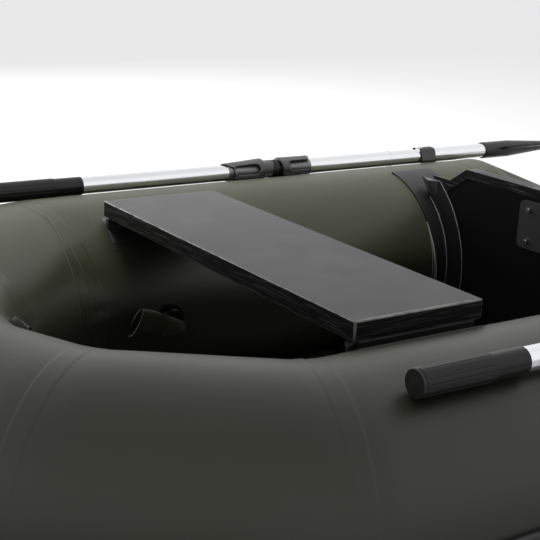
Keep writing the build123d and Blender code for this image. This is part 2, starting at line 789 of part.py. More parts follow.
def build_loops():
    surface = side_y - sqrt(tube_radius**2 - (loop_centre_height - tube_radius) ** 2)
    centre_y = surface - loop_depth / 2 + loop_bite
    x_high = seat_front - loop_from_seat
    aft_centre = (x_high - loop_length, centre_y, loop_centre_height)
    plane = Plane(origin=aft_centre, x_dir=(0, 1, 0), z_dir=(1, 0, 0))
    outer = Ellipse(loop_depth / 2, loop_height / 2)
    inner = Ellipse(loop_depth / 2 - loop_wall, loop_height / 2 - loop_wall)
    loop = extrude(plane * (outer - inner), loop_length)
    loop -= side_rod(tube_radius + glue_gap, cone_x, side_fore_x)
    save("side_keeper_loops", pair(loop))


def build_bow_fitting():
    """Patch with a hinge barrel on the bow, and the ring in it, lying along the tube."""
    inner = tube_radius + glue_gap
    axis = Vector(bow_tip - tube_radius, 0, tube_radius)
    face = Circle(inner + patch_thickness) - Circle(inner)
    rim = [
        (3 * inner * sin(radians(a)), 3 * inner * cos(radians(a)))
        for a in (-patch_half_angle, 0, patch_half_angle)
    ]
    face &= make_face(Polyline((0, 0), *rim, (0, 0)))
    hinge_y = inner + patch_thickness + hinge_radius
    face += Pos(0, hinge_y) * Circle(hinge_radius)
    face += Pos(0, hinge_y - hinge_radius / 2) * Rectangle(2 * hinge_radius, hinge_radius)
    wide = extrude(face & Circle(inner + patch_thickness), patch_half_width, both=True)
    narrow = extrude(face, hinge_width / 2, both=True)
    barrel_gap = Pos(0, hinge_y) * Circle(ring_wire + running)
    patch = wide + narrow - extrude(barrel_gap, hinge_width, both=True)
    tilt = radians(tow_angle)
    frame = Plane(origin=axis, x_dir=Vector(sin(tilt), 0, -cos(tilt)), z_dir=(0, -1, 0))
    save("tow_patch", frame.location * patch)

    half = ring_width / 2
    corners = [(x, hinge_y, z) for x, z in ((0, -half), (0, half), (ring_drop, half), (ring_drop, -half))]
    loop = FilletPolyline(*corners, radius=ring_corner, close=True)
    section = Plane(origin=loop @ 0, z_dir=loop % 0) * Circle(ring_wire)
    save("tow_ring", frame.location * sweep(section, path=loop))


def valve_planes():
    """Name, plane (Z out of the tube) and tube axis of the three valves."""
    angle = radians(side_valve_angle)
    x = from_bow(side_valve_from_bow)
    planes = {}
    for name, side in (("port", 1), ("starboard", -1)):
        out = Vector(0, -side * sin(angle), cos(angle))
        origin = Vector(x, side * side_y, tube_radius) + out * (tube_radius + glue_gap)
        planes[name] = Plane(origin=origin, x_dir=(1, 0, 0), z_dir=out)
    angle = radians(bow_valve_angle)
    out = Vector(-sin(angle), 0, cos(angle))
    origin = Vector(bow_tip - tube_radius, 0, tube_radius) + out * (tube_radius + glue_gap)
    planes["bow"] = Plane(origin=origin, x_dir=(0, 1, 0), z_dir=out)
    return planes


def post(radius, low, high):
    return Pos(0, 0, (low + high) / 2) * Cylinder(radius, high - low)


def valve_pieces():
    """Barrel, stem, spring and cap of a valve; z = 0 is the skin's outer face."""
    bore = valve_barrel_radius - valve_barrel_wall
    body = post(valve_barrel_radius, -valve_depth, valve_flange)
    body -= post(bore, -valve_depth + valve_seat_wall, valve_flange + 1)
    body -= post(valve_port_radius, -valve_depth - 1, 0)
    width, thickness = valve_bridge
    bridge = Pos(0, 0, -valve_bridge_depth) * Box(2 * bore, width, thickness)
    bridge &= post(bore + 0.5, -valve_depth, valve_flange)
    body += bridge
    body -= post(valve_rod_radius + running, -valve_depth, valve_flange)

    disc_top = -valve_depth - loose
    stem = post(valve_disc_radius, disc_top - valve_disc, disc_top)
    stem += post(valve_rod_radius, disc_top - valve_disc, -valve_rod_top)
    stem += post(valve_button_radius, -valve_rod_top, -valve_rod_top + valve_button)

    low = -valve_bridge_depth + thickness / 2 + spring_wire + loose
    height = -valve_rod_top - spring_wire - loose - low
    helix = Pos(0, 0, low) * Helix(height / spring_turns, height, spring_radius)
    section = Plane(origin=helix @ 0, z_dir=helix % 0) * Circle(spring_wire)
    spring = sweep(section, path=helix)

    top = valve_flange + loose
    cap = post(cap_radius, top, top + cap_height)
    cap = fillet(cap.edges().filter_by(GeomType.CIRCLE).sort_by(Axis.Z)[-1], cap_round)
    cap += post(bore - loose, top - cap_skirt, top)
    cap -= post(bore - loose - cap_skirt_wall, top - cap_skirt - 1, top + cap_height - cap_top)
    cap += Pos(0, 0, top + cap_height) * Box(*cap_rib)
    return {"body": body, "stem": stem, "spring": spring, "cap": cap}


def valve_flange_ring(plane, tube):
    """Flange of a valve, hollowed to lie on the tube."""
    ring = post(valve_flange_radius, -valve_flange, valve_flange)
    ring -= post(valve_barrel_radius - 1, -valve_flange - 1, valve_flange + 1)
    return plane.location * ring - tube


def valve_hole(plane):
    return plane.location * post(valve_barrel_radius + valve_hole_gap, -valve_depth, valve_depth)


def build_valves():
    bodies = []
    for name, plane in valve_planes().items():
        side = {"port": 1, "starboard": -1}.get(name)
        tube = bow_run(tube_radius + glue_gap)
        if side:
            tube = side_rod(tube_radius + glue_gap, cone_x, side_fore_x, side)
        for piece_name, piece in valve_pieces().items():
            there = plane.location * piece
            if piece_name == "body":
                bodies.append(there + valve_flange_ring(plane, tube))
            else:
                save(f"{name}_valve_{piece_name}", there)
    save("valve_bodies", group(bodies))


build_tubes()
build_bottom()
build_strake()
build_seat()
build_transom()
for oar_side in ("port", "starboard"):
    build_oar(oar_side)
build_loops()
build_bow_fitting()
build_valves()
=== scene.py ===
# %% [markdown]
# # A small inflatable dinghy
# The boat is three welded fabric air tubes, a plywood seat and transom, and two oars stowed along
# its tubes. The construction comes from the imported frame. This lesson makes the parts that a CAD
# solid can't show well, which are the soft fabric, the painted wood and every finish.

# %% Load the frame
import json
import math

import bpy
import numpy as np
from mathutils import Matrix, Vector, noise
from mathutils.bvhtree import BVHTree


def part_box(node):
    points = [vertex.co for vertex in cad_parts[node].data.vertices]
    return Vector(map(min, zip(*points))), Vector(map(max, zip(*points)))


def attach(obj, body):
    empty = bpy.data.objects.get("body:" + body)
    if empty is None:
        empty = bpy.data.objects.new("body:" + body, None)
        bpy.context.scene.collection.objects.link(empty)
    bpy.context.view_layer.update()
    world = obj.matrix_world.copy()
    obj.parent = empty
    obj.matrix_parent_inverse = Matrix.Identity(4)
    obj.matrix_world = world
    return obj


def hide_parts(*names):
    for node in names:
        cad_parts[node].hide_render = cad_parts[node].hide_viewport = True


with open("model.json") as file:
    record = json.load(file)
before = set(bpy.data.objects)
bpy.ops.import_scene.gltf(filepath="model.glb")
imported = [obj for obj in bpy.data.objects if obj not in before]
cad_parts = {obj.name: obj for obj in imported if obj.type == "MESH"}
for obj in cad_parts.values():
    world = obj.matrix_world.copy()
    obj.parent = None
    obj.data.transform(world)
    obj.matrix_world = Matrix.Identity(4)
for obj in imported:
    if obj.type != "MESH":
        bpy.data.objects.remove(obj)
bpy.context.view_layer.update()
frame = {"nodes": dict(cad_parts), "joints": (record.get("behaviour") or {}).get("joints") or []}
nodes = frame["nodes"]
joints = {joint["name"]: joint for joint in frame["joints"]}
MM = 0.001
SIDES = ((1, "port"), (-1, "starboard"))

# %% [markdown]
# ## Colours and nodes
# Colours are written as sRGB hex values, as a paint chart gives them, and Blender wants them
# linear. One function turns them, and one adds a node, so that a material reads as a short recipe.
# Patterns are given by their real size in millimetres, and two small sums turn that into the
# Scale that Blender's Noise and Wave nodes take.

# %% Helpers for colours and nodes


def linear(hex_colour, alpha=1.0):
    """An sRGB hex colour as linear RGBA."""
    parts = [int(hex_colour[i:i + 2], 16) / 255 for i in (1, 3, 5)]
    return [c / 12.92 if c <= 0.04045 else ((c + 0.055) / 1.055) ** 2.4 for c in parts] + [alpha]


def toned(colour, share):
    """A linear colour, lighter by a share, or darker where the share is negative."""
    return [c * (1 + share) for c in colour[:3]] + [1]


def noise_scale(size_mm):
    """Scale of a Noise node whose spots are about this large."""
    return 1 / (size_mm * MM)


def wave_scale(spacing_mm):
    """Scale of a Wave node whose bands lie this far apart: they repeat each pi / 10 / Scale."""
    return math.pi / 10 / (spacing_mm * MM)


def add_node(owner, kind, inputs=None, **settings):
    """Adds one node. An input is a plain value, or the output socket that feeds it.

    A colour Mix has its factor in input 0 and its colours in 6 and 7; a float Mix has 2 and 3."""
    node = owner.node_tree.nodes.new(kind)
    for name, value in settings.items():
        setattr(node, name, value)
    for name, value in (inputs or {}).items():
        if isinstance(value, bpy.types.NodeSocket):
            owner.node_tree.links.new(value, node.inputs[name])
        else:
            node.inputs[name].default_value = value
    return node


def new_material(name):
    """An empty node material and its output node."""
    material = bpy.data.materials.new(name)
    material.use_nodes = True
    material.node_tree.nodes.clear()
    return material, add_node(material, "ShaderNodeOutputMaterial")


def finish_material(material, output, shader):
    material.node_tree.links.new(shader.outputs[0], output.inputs["Surface"])
    return material


print("olive in linear light:", [round(c, 3) for c in linear("#393b2b")])

# %% [markdown]
# ## The tube fabric
# The tubes are polyester cloth coated with PVC. The coating is calendered, so it is smooth, with a
# soft satin shine and the print of the cloth's threads just under it. The threads lie about 1 mm
# apart, too fine to show here, so the weave is drawn as coarse as 2.5 mm. Two crossed waves make
# it, and they follow the cloth's own flat layout, so they bend with the tube. Slow changes of tone
# and shine stand for handling and for the fabric's stretch.

# %% PVC-coated cloth
WEAVE_MM = 2.5
COATING_GRAIN_MM = 1.6
STRETCH_MM = 220


def pvc_cloth(name, colour, rough, tone=0.06):
    material, output = new_material(name)
    coords = add_node(material, "ShaderNodeTexCoord")
    place, flat = coords.outputs["Object"], coords.outputs["UV"]
    slow = add_node(
        material, "ShaderNodeTexNoise", {"Vector": place, "Scale": noise_scale(STRETCH_MM), "Detail": 3.0}
    )
    grain = add_node(
        material, "ShaderNodeTexNoise",
        {"Vector": place, "Scale": noise_scale(COATING_GRAIN_MM), "Detail": 2.0},
    )
    tint = add_node(
        material, "ShaderNodeMix",
        {0: slow.outputs["Fac"], 6: toned(colour, -tone), 7: toned(colour, tone)},
        data_type="RGBA",
    )
    shine = add_node(
        material, "ShaderNodeMapRange",
        {
            "Value": slow.outputs["Fac"], "From Min": 0.3, "From Max": 0.7,
            "To Min": rough - 0.04, "To Max": rough + 0.05,
        },
    )
    warp, weft = [
        add_node(
            material, "ShaderNodeTexWave",
            {"Vector": flat, "Scale": wave_scale(WEAVE_MM), "Distortion": 0.4, "Detail": 1.0},
            bands_direction=axis,
        )
        for axis in ("X", "Y")
    ]
    weave = add_node(
        material, "ShaderNodeMath", {0: warp.outputs["Fac"], 1: weft.outputs["Fac"]}, operation="MULTIPLY"
    )
    height = add_node(
        material, "ShaderNodeMath",
        {0: weave.outputs[0], 1: 0.35, 2: grain.outputs["Fac"]},
        operation="MULTIPLY_ADD",
    )
    bump = add_node(
        material, "ShaderNodeBump", {"Height": height.outputs[0], "Strength": 0.25, "Distance": 0.15 * MM}
    )
    shader = add_node(
        material, "ShaderNodeBsdfPrincipled",
        {
            "Base Color": tint.outputs[2], "Roughness": shine.outputs[0],
            "Normal": bump.outputs[0], "IOR": 1.52,
        },
    )
    return finish_material(material, output, shader)


print("weave drawn at", WEAVE_MM, "mm, coating grain at", COATING_GRAIN_MM, "mm")

# %% The boat's cloths
# Tube cloth: an even olive coat with a satin shine, which mirrors the room as broad soft bands.
olive_pvc = pvc_cloth("olive PVC-coated cloth", linear("#393b2b"), 0.42)
# Sleeves are handled more, so their cloth is paler, blotchier and duller.
sleeve_pvc = pvc_cloth("pale olive PVC-coated cloth", linear("#5c5d45"), 0.48, tone=0.12)
# Black cloth of the floor, rubbing strake and holders: so dark that only its coat's shine shows.
black_pvc = pvc_cloth("black PVC-coated cloth", linear("#1b1a1c"), 0.40)
# Keders are the ropes that the seat slides on. They are extruded, which leaves a tighter shine.
keder_pvc = pvc_cloth("black extruded PVC keder", linear("#5a595e"), 0.33)
print("cloths:", [cloth.name for cloth in (olive_pvc, sleeve_pvc, black_pvc, keder_pvc)])

# %% [markdown]
# ## Film-faced plywood
# Seat and transom are birch plywood under a black phenolic film, which is hot-pressed onto it. The
# press leaves a faint even texture, drawn at 1.2 mm, a few times as coarse as it is. The film has a
# half-matt grey sheen that changes slowly over the board.

# %% Phenolic film
PRESS_MM = 1.2
FILM_CHANGE_MM = 70


def film_faced_ply():
    material, output = new_material("black phenolic film on plywood")
    place = add_node(material, "ShaderNodeTexCoord").outputs["Object"]
    slow = add_node(
        material, "ShaderNodeTexNoise",
        {"Vector": place, "Scale": noise_scale(FILM_CHANGE_MM), "Detail": 4.0},
    )
    press = add_node(
        material, "ShaderNodeTexNoise", {"Vector": place, "Scale": noise_scale(PRESS_MM), "Detail": 2.0}
    )
    tint = add_node(
        material, "ShaderNodeMix",
        {0: slow.outputs["Fac"], 6: linear("#3f3d3f"), 7: linear("#4a494a")},
        data_type="RGBA",
    )
    shine = add_node(
        material, "ShaderNodeMapRange",
        {"Value": slow.outputs["Fac"], "From Min": 0.3, "From Max": 0.7, "To Min": 0.44, "To Max": 0.52},
    )
    bump = add_node(
        material, "ShaderNodeBump",
        {"Height": press.outputs["Fac"], "Strength": 0.3, "Distance": 0.12 * MM},
    )
    shader = add_node(
        material, "ShaderNodeBsdfPrincipled",
        {
            "Base Color": tint.outputs[2], "Roughness": shine.outputs[0],
            "Normal": bump.outputs[0], "IOR": 1.5,
        },
    )
    return finish_material(material, output, shader)


film_ply = film_faced_ply()
print("made", film_ply.name)

# %% [markdown]
# ## Painted plywood edge
# The edges are sawn and only painted, so the glued plies show as fine lines along them. Each ply is
# 3 mm thick, so the lines lie that far apart. Streaks of bare wood, long along the edge and thin
# across it, come from a noise that is squeezed in height.

# %% Ply edge
PLY_MM = 3.0
STREAK_MM = (62.5, 62.5, 2.381)  # a streak is this long and deep, and this high


def painted_ply_edge():
    material, output = new_material("painted plywood edge")
    place = add_node(material, "ShaderNodeTexCoord").outputs["Object"]
    scale = [noise_scale(size) for size in STREAK_MM]
    along = add_node(material, "ShaderNodeMapping", {"Vector": place, "Scale": scale})
    blur = add_node(
        material, "ShaderNodeTexNoise", {"Vector": along.outputs[0], "Scale": 1.0, "Detail": 5.0}
    )
    streak = add_node(
        material, "ShaderNodeMapRange", {"Value": blur.outputs["Fac"], "From Min": 0.50, "From Max": 0.78}
    )
    plies = add_node(
        material, "ShaderNodeTexWave",
        {
            "Vector": place, "Scale": wave_scale(PLY_MM),
            "Distortion": 1.2, "Detail": 2.0, "Detail Scale": 3.0,
        },
        bands_direction="Z",
    )
    mixed = add_node(
        material, "ShaderNodeMath",
        {0: plies.outputs["Fac"], 1: 0.10, 2: streak.outputs[0]},
        operation="MULTIPLY_ADD",
    )
    tint = add_node(
        material, "ShaderNodeMix",
        {0: mixed.outputs[0], 6: linear("#040405"), 7: linear("#77747b")},
        data_type="RGBA",
    )
    bump = add_node(
        material, "ShaderNodeBump", {"Height": mixed.outputs[0], "Strength": 0.6, "Distance": 0.4 * MM}
    )
    shader = add_node(
        material, "ShaderNodeBsdfPrincipled",
        {
            "Base Color": tint.outputs[2], "Roughness": 0.40,
            "Normal": bump.outputs[0], "Specular IOR Level": 0.2,
        },
    )
    return finish_material(material, output, shader)


ply_edge = painted_ply_edge()
print("made", ply_edge.name)

# %% [markdown]
# ## Rubbed arris and its highlight
# An arris is the sharp line where the film meets the sawn edge, and the paint rubs off there first.
# The bare wood and glue show as a pale broken line, so the finish is a noise of paint and wood with
# spots of about 20 mm. The pale colour also stands for a painted highlight on the rounded edge.

# %% Rubbed paint and painted highlight
RUB_MM = 20


def arris_wear_and_highlight_finish():
    material, output = new_material("rubbed paint and painted highlight on an arris")
    place = add_node(material, "ShaderNodeTexCoord").outputs["Object"]
    wear = add_node(
        material, "ShaderNodeTexNoise", {"Vector": place, "Scale": noise_scale(RUB_MM), "Detail": 5.0}
    )
    amount = add_node(
        material, "ShaderNodeMapRange", {"Value": wear.outputs["Fac"], "From Min": 0.28, "From Max": 0.56}
    )
    tint = add_node(
        material, "ShaderNodeMix",
        {0: amount.outputs[0], 6: linear("#4a494a"), 7: linear("#bdbbb7")},
        data_type="RGBA",
    )
    shader = add_node(
        material, "ShaderNodeBsdfPrincipled", {"Base Color": tint.outputs[2], "Roughness": 0.5}
    )
    return finish_material(material, output, shader)


arris_wear_and_highlight = arris_wear_and_highlight_finish()
print("made", arris_wear_and_highlight.name)

# %% [markdown]
# ## Drawn aluminium
# The oar shafts are aluminium tube, drawn through a die and clear anodised. Die lines run along
# them, so a noise is stretched along X, and it blurs the highlight sideways. Real ones are finer
# than a tenth of a millimetre. They are drawn about 1 mm apart to show, and kept shallow, so that
# the bright streak along the shaft stays nearly whole.

# %% Drawn anodised aluminium
DIE_LINE_MM = (333.3, 1.111, 1.111)  # how long a line keeps its tone, and how far apart they lie


def drawn_aluminium():
    material, output = new_material("drawn anodised aluminium")
    place = add_node(material, "ShaderNodeTexCoord").outputs["Object"]
    scale = [noise_scale(size) for size in DIE_LINE_MM]
    along = add_node(material, "ShaderNodeMapping", {"Vector": place, "Scale": scale})
    lines = add_node(
        material, "ShaderNodeTexNoise", {"Vector": along.outputs[0], "Scale": 1.0, "Detail": 3.0}
    )
    shine = add_node(
        material, "ShaderNodeMapRange",
        {"Value": lines.outputs["Fac"], "From Min": 0.3, "From Max": 0.7, "To Min": 0.17, "To Max": 0.25},
    )
    bump = add_node(
        material, "ShaderNodeBump",
        {"Height": lines.outputs["Fac"], "Strength": 0.2, "Distance": 0.05 * MM},
    )
    shader = add_node(
        material, "ShaderNodeBsdfPrincipled",
        {
            "Base Color": linear("#f0f1f4"), "Metallic": 1.0,
            "Roughness": shine.outputs[0], "Normal": bump.outputs[0],
        },
    )
    return finish_material(material, output, shader)


aluminium = drawn_aluminium()
print("made", aluminium.name)

# %% [markdown]
# ## Moulded plastic and rubber
# Rowlocks and clips are glass-filled nylon from a spark-eroded mould, so they are matt grey with a
# fine grain. Blades and valves are smoother polypropylene, and the grips are soft PVC slipped on
# hot. They differ in colour, shine and grain alone, so one recipe makes them all.

# %% Moulded finishes
MOULD_CHANGE_MM = 30


def moulded(name, colour, rough, grain_mm, depth_mm, tone=0.1, sheen=0.5):
    """A moulded plastic or rubber with an even grain from its mould."""
    material, output = new_material(name)
    place = add_node(material, "ShaderNodeTexCoord").outputs["Object"]
    grain = add_node(
        material, "ShaderNodeTexNoise", {"Vector": place, "Scale": noise_scale(grain_mm), "Detail": 3.0}
    )
    slow = add_node(
        material, "ShaderNodeTexNoise",
        {"Vector": place, "Scale": noise_scale(MOULD_CHANGE_MM), "Detail": 3.0},
    )
    tint = add_node(
        material, "ShaderNodeMix",
        {0: slow.outputs["Fac"], 6: toned(colour, -tone), 7: toned(colour, tone)},
        data_type="RGBA",
    )
    bump = add_node(
        material, "ShaderNodeBump",
        {"Height": grain.outputs["Fac"], "Strength": 0.35, "Distance": depth_mm * MM},
    )
    shader = add_node(
        material, "ShaderNodeBsdfPrincipled",
        {
            "Base Color": tint.outputs[2], "Roughness": rough, "Normal": bump.outputs[0],
            "IOR": 1.5, "Specular IOR Level": sheen,
        },
    )
    return finish_material(material, output, shader)


print("slow change of tone drawn at", MOULD_CHANGE_MM, "mm")

# %% Plastics and rubbers of the boat
# After the colour come the roughness, the grain's size and the grain's depth, both in mm. Real mould
# grain is near 0.1 mm, too fine to show, so it is drawn about ten times as coarse.

# Nylon from a spark-eroded mould: matt and cool grey, as its glass fibres scatter the light.
grey_nylon = moulded("grey glass-filled nylon, spark-eroded", linear("#4c4c4d"), 0.46, 0.9, 0.08)
# Polypropylene from a smooth mould: deep black with a soft, wide sheen.
black_plastic = moulded("black moulded polypropylene", linear("#1d1d1f"), 0.38, 1.4, 0.05)
# Soft PVC that hands have polished: near black, with a low sheen along its ribs.
grip_pvc = moulded("soft black PVC grip", linear("#1e1e20"), 0.30, 1.1, 0.06, sheen=0.3)
# The cap is harder PVC, a little paler, with a tight highlight on its rolled rim.
cap_pvc = moulded("grey PVC cap", linear("#39393b"), 0.28, 1.0, 0.05)
# Unfilled nylon: pale grey and waxy.
bush_nylon = moulded("pale grey nylon bush", linear("#8c8c8e"), 0.38, 0.9, 0.05)
# Pale PVC beads: at a lip's root a weld bead, and on the lips' rims and the track lips a painted
# highlight.
pale_bead_and_highlight = moulded("pale PVC bead and painted highlight", linear("#a4a4a6"), 0.26, 2.0, 0.04)
# The holders' fore edges are painted pale and dull as a highlight where the edge catches light.
fore_edge_highlight_pvc = moulded("fore edge of black PVC, painted highlight", linear("#b0b0a7"), 0.40, 1.5, 0.06)
# A straight cut shows the cloth's white polyester between its two coats.
cut_edge = moulded("cut edge of coated cloth, white core", linear("#dddbcd"), 0.60, 0.8, 0.08)
# Old matt paint, which mirrors next to nothing.
transom_paint = moulded(
    "matt black paint on the transom", linear("#0a090b"), 0.62, 1.6, 0.10, sheen=0.15
)
# Valve bodies and caps: dense black plastic with a small, dull highlight.
valve_plastic = moulded("black valve plastic", linear("#101011"), 0.34, 1.4, 0.04, sheen=0.35)
print("moulded finishes made, from", grey_nylon.name, "to", valve_plastic.name)

# %% [markdown]
# ## Stainless steel
# Bolts, screws, springs and the tow ring are stainless steel, tumbled in a drum with stones. That
# leaves a soft shine with fine dull specks of about 0.8 mm, which a noise in the roughness gives.

# %% Tumbled steel
TUMBLE_MM = 0.8


def stainless_steel():
    material, output = new_material("stainless steel, tumbled")
    place = add_node(material, "ShaderNodeTexCoord").outputs["Object"]
    grain = add_node(
        material, "ShaderNodeTexNoise", {"Vector": place, "Scale": noise_scale(TUMBLE_MM), "Detail": 3.0}
    )
    shine = add_node(
        material, "ShaderNodeMapRange", {"Value": grain.outputs["Fac"], "To Min": 0.22, "To Max": 0.38}
    )
    shader = add_node(
        material, "ShaderNodeBsdfPrincipled",
        {"Base Color": linear("#b9b8b4"), "Metallic": 1.0, "Roughness": shine.outputs[0]},
    )
    return finish_material(material, output, shader)


steel = stainless_steel()
print("made", steel.name)

# %% [markdown]
# ## Dressing the rigid nodes
# Machined and moulded pieces already have their true shape in the frame, so they stay and only get
# their finish. A node takes the finish of each word that is in its name, and the last one holds.
# What no word names is tube cloth.

# %% Give the rigid nodes their finishes
FINISHES = {
    aluminium: ("upper_shaft", "lower_shaft"),
    grip_pvc: ("oar_grip",),
    grey_nylon: ("rowlock", "keeper_clip", "motor_pad"),
    bush_nylon: ("oar_bush",),
    black_plastic: ("oar_blade", "drain", "oar_button", "seat_tracks"),
    valve_plastic: ("valve_bodies", "valve_cap", "valve_stem"),
    keder_pvc: ("seat_keders",),
    steel: ("pad_bolts", "pad_nuts", "track_screws", "tow_ring", "spring"),
    black_pvc: ("floor_sheet", "transom_holder", "rubbing_strake"),
    film_ply: ("floor_slats", "seat_board"),
    transom_paint: ("transom_board",),
    ply_edge: ("edge_trim",),
}


def set_finish(obj, material):
    obj.data.materials.clear()
    obj.data.materials.append(material)


for name, obj in nodes.items():
    set_finish(obj, olive_pvc)
    for material, words in FINISHES.items():
        if any(word in name for word in words):
            set_finish(obj, material)
print("finishes set on", len(nodes), "nodes")

# %% [markdown]
# ## Helpers for new pieces
# A new piece is a list of points and faces. It gets a flat layout of its surface in metres, which
# the cloth's weave follows, then it rides on a body and stands for its CAD nodes. Most pieces here
# are a grid of points, or rings of points, so two helpers give the faces and the rings.

# %% Make a piece from points
AROUND = 48  # points of a full ring
ACROSS, UP = Vector((0, 1, 0)), Vector((0, 0, 1))


def make_piece(name, points, faces, material, body, replaced=(), layout=None, smooth=True):
    """A new object on a body, with its material; the CAD nodes it stands for are hidden."""
    mesh = bpy.data.meshes.new(name)
    mesh.from_pydata([tuple(p) for p in points], [], [tuple(f) for f in faces])
    mesh.materials.append(material)
    if layout is not None:
        uv_layer = mesh.uv_layers.new(name="cloth")
        loops = np.empty(len(mesh.loops), int)
        mesh.loops.foreach_get("vertex_index", loops)
        uv_layer.data.foreach_set("uv", np.array(layout, float)[loops].ravel())
    mesh.polygons.foreach_set("use_smooth", [smooth] * len(mesh.polygons))
    mesh.validate()
    mesh.update()
    piece = bpy.data.objects.new(name, mesh)
    bpy.context.scene.collection.objects.link(piece)
    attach(piece, body)
    if replaced:
        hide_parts(*replaced)
    return piece


def grid_faces(rows, columns, closed=True):
    """Quads of a grid of points, row by row; closed joins the last column to the first."""
    faces = []
    for r in range(rows - 1):
        for c in range(columns if closed else columns - 1):
            d = (c + 1) % columns
            low, high = r * columns, (r + 1) * columns
            faces.append((low + c, low + d, high + d, high + c))
    return faces


def circle(centre, right, up, size, count=AROUND):
    """Points of a ring about centre, from two unit vectors that it lies along."""
    turns = [2 * math.pi * k / count for k in range(count)]
    return [centre + right * size * math.cos(t) + up * size * math.sin(t) for t in turns]


def bump_curve(x):
    """1 at 0, falling smoothly to 0 at 1."""
    x = np.clip(np.abs(x), 0, 1)
    return 1 - x * x * (3 - 2 * x)


print("helpers ready, a ring of 3 rows has", len(grid_faces(3, AROUND)), "faces")

# %% [markdown]
# ## The air tubes
# Straight lengths of fabric tube are cut at an angle, butted and covered with a welded tape, so the
# bow is a chain of short cylinders. Air pressure rounds each mitre off, and the tape pinches it a
# little. A bevelled cylinder would keep hard corners, and a curve with a round bevel would lose the
# panels, so the tubes are built as rings along a path with corners.

# %% Path of the tubes, from the frame
BEND_BACK, PANEL_LENGTH = 0.508, 0.300  # bow tip to the first mitre, first mitre to the second
FIRST_TURN, SECOND_TURN = math.radians(35.5), math.radians(35.5 + 30.0)  # headings after them
CONE_TIP_RADIUS = 0.080

tube_low, tube_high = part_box("port_tube")
cone_low, cone_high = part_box("port_stern_cone")
radius = (tube_high.z - tube_low.z) / 2
side_y = (tube_high.y + tube_low.y) / 2
bow_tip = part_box("bow_tube")[1].x
bend_x = bow_tip - BEND_BACK
panel_x = bend_x + PANEL_LENGTH * math.cos(FIRST_TURN)
panel_y = side_y - PANEL_LENGTH * math.sin(FIRST_TURN)
nose_x = bow_tip - radius
nose_y = panel_y - (nose_x - panel_x) * math.tan(SECOND_TURN)
half_path = [
    (cone_low.x, side_y), (cone_high.x, side_y), (bend_x, side_y), (panel_x, panel_y), (nose_x, nose_y)
]
tube_path = [Vector((x, y, radius)) for x, y in half_path]
tube_path += [Vector((x, -y, radius)) for x, y in reversed(half_path)]
print("tube radius", round(radius, 4), "path of", len(tube_path), "corners")

# %% [markdown]
# ## Rings along the path
# Each ring has a point on every lengthwise line of the tube. These lines meet at the mitres. Near a
# mitre each line follows a small arc from one cylinder to the next, in close steps that leave room
# for the tape's edges, and between mitres the rings are 25 mm apart.

# %% Lengthwise lines and rings
COLUMNS = 160
RING_GAP = 0.025
SEAM_REACH = 0.050
HALF_STEPS_MM = (5, 10, 13.6, 14.6, 16, 19, 24, 31, 40, 50)
angles = np.linspace(0, 2 * math.pi, COLUMNS, endpoint=False)
seam_steps = np.array([-s for s in reversed(HALF_STEPS_MM)] + [0, *HALF_STEPS_MM]) * MM


def mitre_rings():
    """For each corner of the path: where lengthwise lines cross its mitre, and both headings."""
    headings = [(b - a).normalized() for a, b in zip(tube_path, tube_path[1:])]
    corners = []
    for k, corner in enumerate(tube_path):
        before = headings[max(k - 1, 0)]
        after = headings[min(k, len(headings) - 1)]
        mitre = (before + after).normalized()
        size = CONE_TIP_RADIUS if k in (0, len(tube_path) - 1) else radius
        side = Vector((-before.y, before.x, 0))
        ring = []
        for angle in angles:
            spoke = side * math.cos(angle) * size + Vector((0, 0, math.sin(angle) * size))
            ring.append(corner + spoke - before * (spoke.dot(mitre) / before.dot(mitre)))
        corners.append((np.array(ring), np.array(before), np.array(after)))
    return corners


def tube_rings():
    """Rings from the port stern to the starboard one, each with its mitre and its distance to it."""
    corners = mitre_rings()
    last = len(corners) - 1
    rows, tags = [], []
    for k, (ring, before, after) in enumerate(corners):
        if k in (0, last):
            rows.append(ring)
            tags.append((k, None))
        else:
            start, end = ring - before * SEAM_REACH, ring + after * SEAM_REACH
            for step in seam_steps:
                s = (step + SEAM_REACH) / (2 * SEAM_REACH)
                rows.append((1 - s) ** 2 * start + 2 * s * (1 - s) * ring + s * s * end)
                tags.append((k, step))
        if k < last:
            start = rows[-1]
            next_ring, heading, _ = corners[k + 1]
            end = next_ring - heading * (SEAM_REACH if k + 1 < last else 0)
            count = max(2, int(np.linalg.norm(end - start, axis=1).max() / RING_GAP))
            for j in range(1, count):
                rows.append(start + (end - start) * j / count)
                tags.append((k, None))
    return np.array(rows), tags


tube_grid, tags = tube_rings()
print("tube mesh:", len(tube_grid), "rings of", COLUMNS)

# %% [markdown]
# ## Tape, pinch and gathers
# The welded tape is 28 mm wide and stands 0.4 mm proud. The fabric is pulled in by a millimetre or
# so under it, and on the short side of a bend it gathers into small pleats. All of that is added
# along the surface's normal. A slow unevenness of 0.35 mm keeps reflections from looking machined.

# %% Push the rings in and out
TAPE_HALF, TAPE_THICK = 14 * MM, 0.4 * MM
PINCH = 1.3 * MM
GATHER_HEIGHT = 0.5 * MM
GATHERS = ((23, 1.0, 1.7), (41, 0.6, 2.9))  # pleats in a full turn, share, shift from seam to seam
UNEVEN, UNEVEN_SCALE = 0.35 * MM, 7.0  # height, and how many swells in a metre
BENDS = range(2, len(tube_path) - 2)


def gather(angle, seam):
    """Height of the gathers on one lengthwise line."""
    waves = [share * math.sin(angle * count + seam * shift) for count, share, shift in GATHERS]
    return GATHER_HEIGHT * sum(waves)


def outward_normals(grid):
    along = np.gradient(grid, axis=0)
    around = np.roll(grid, -1, axis=1) - np.roll(grid, 1, axis=1)
    normal = np.cross(around, along)
    normal /= np.maximum(np.linalg.norm(normal, axis=2, keepdims=True), 1e-12)
    centre = grid.mean(axis=1, keepdims=True)
    return normal if ((grid - centre) * normal).sum() > 0 else -normal


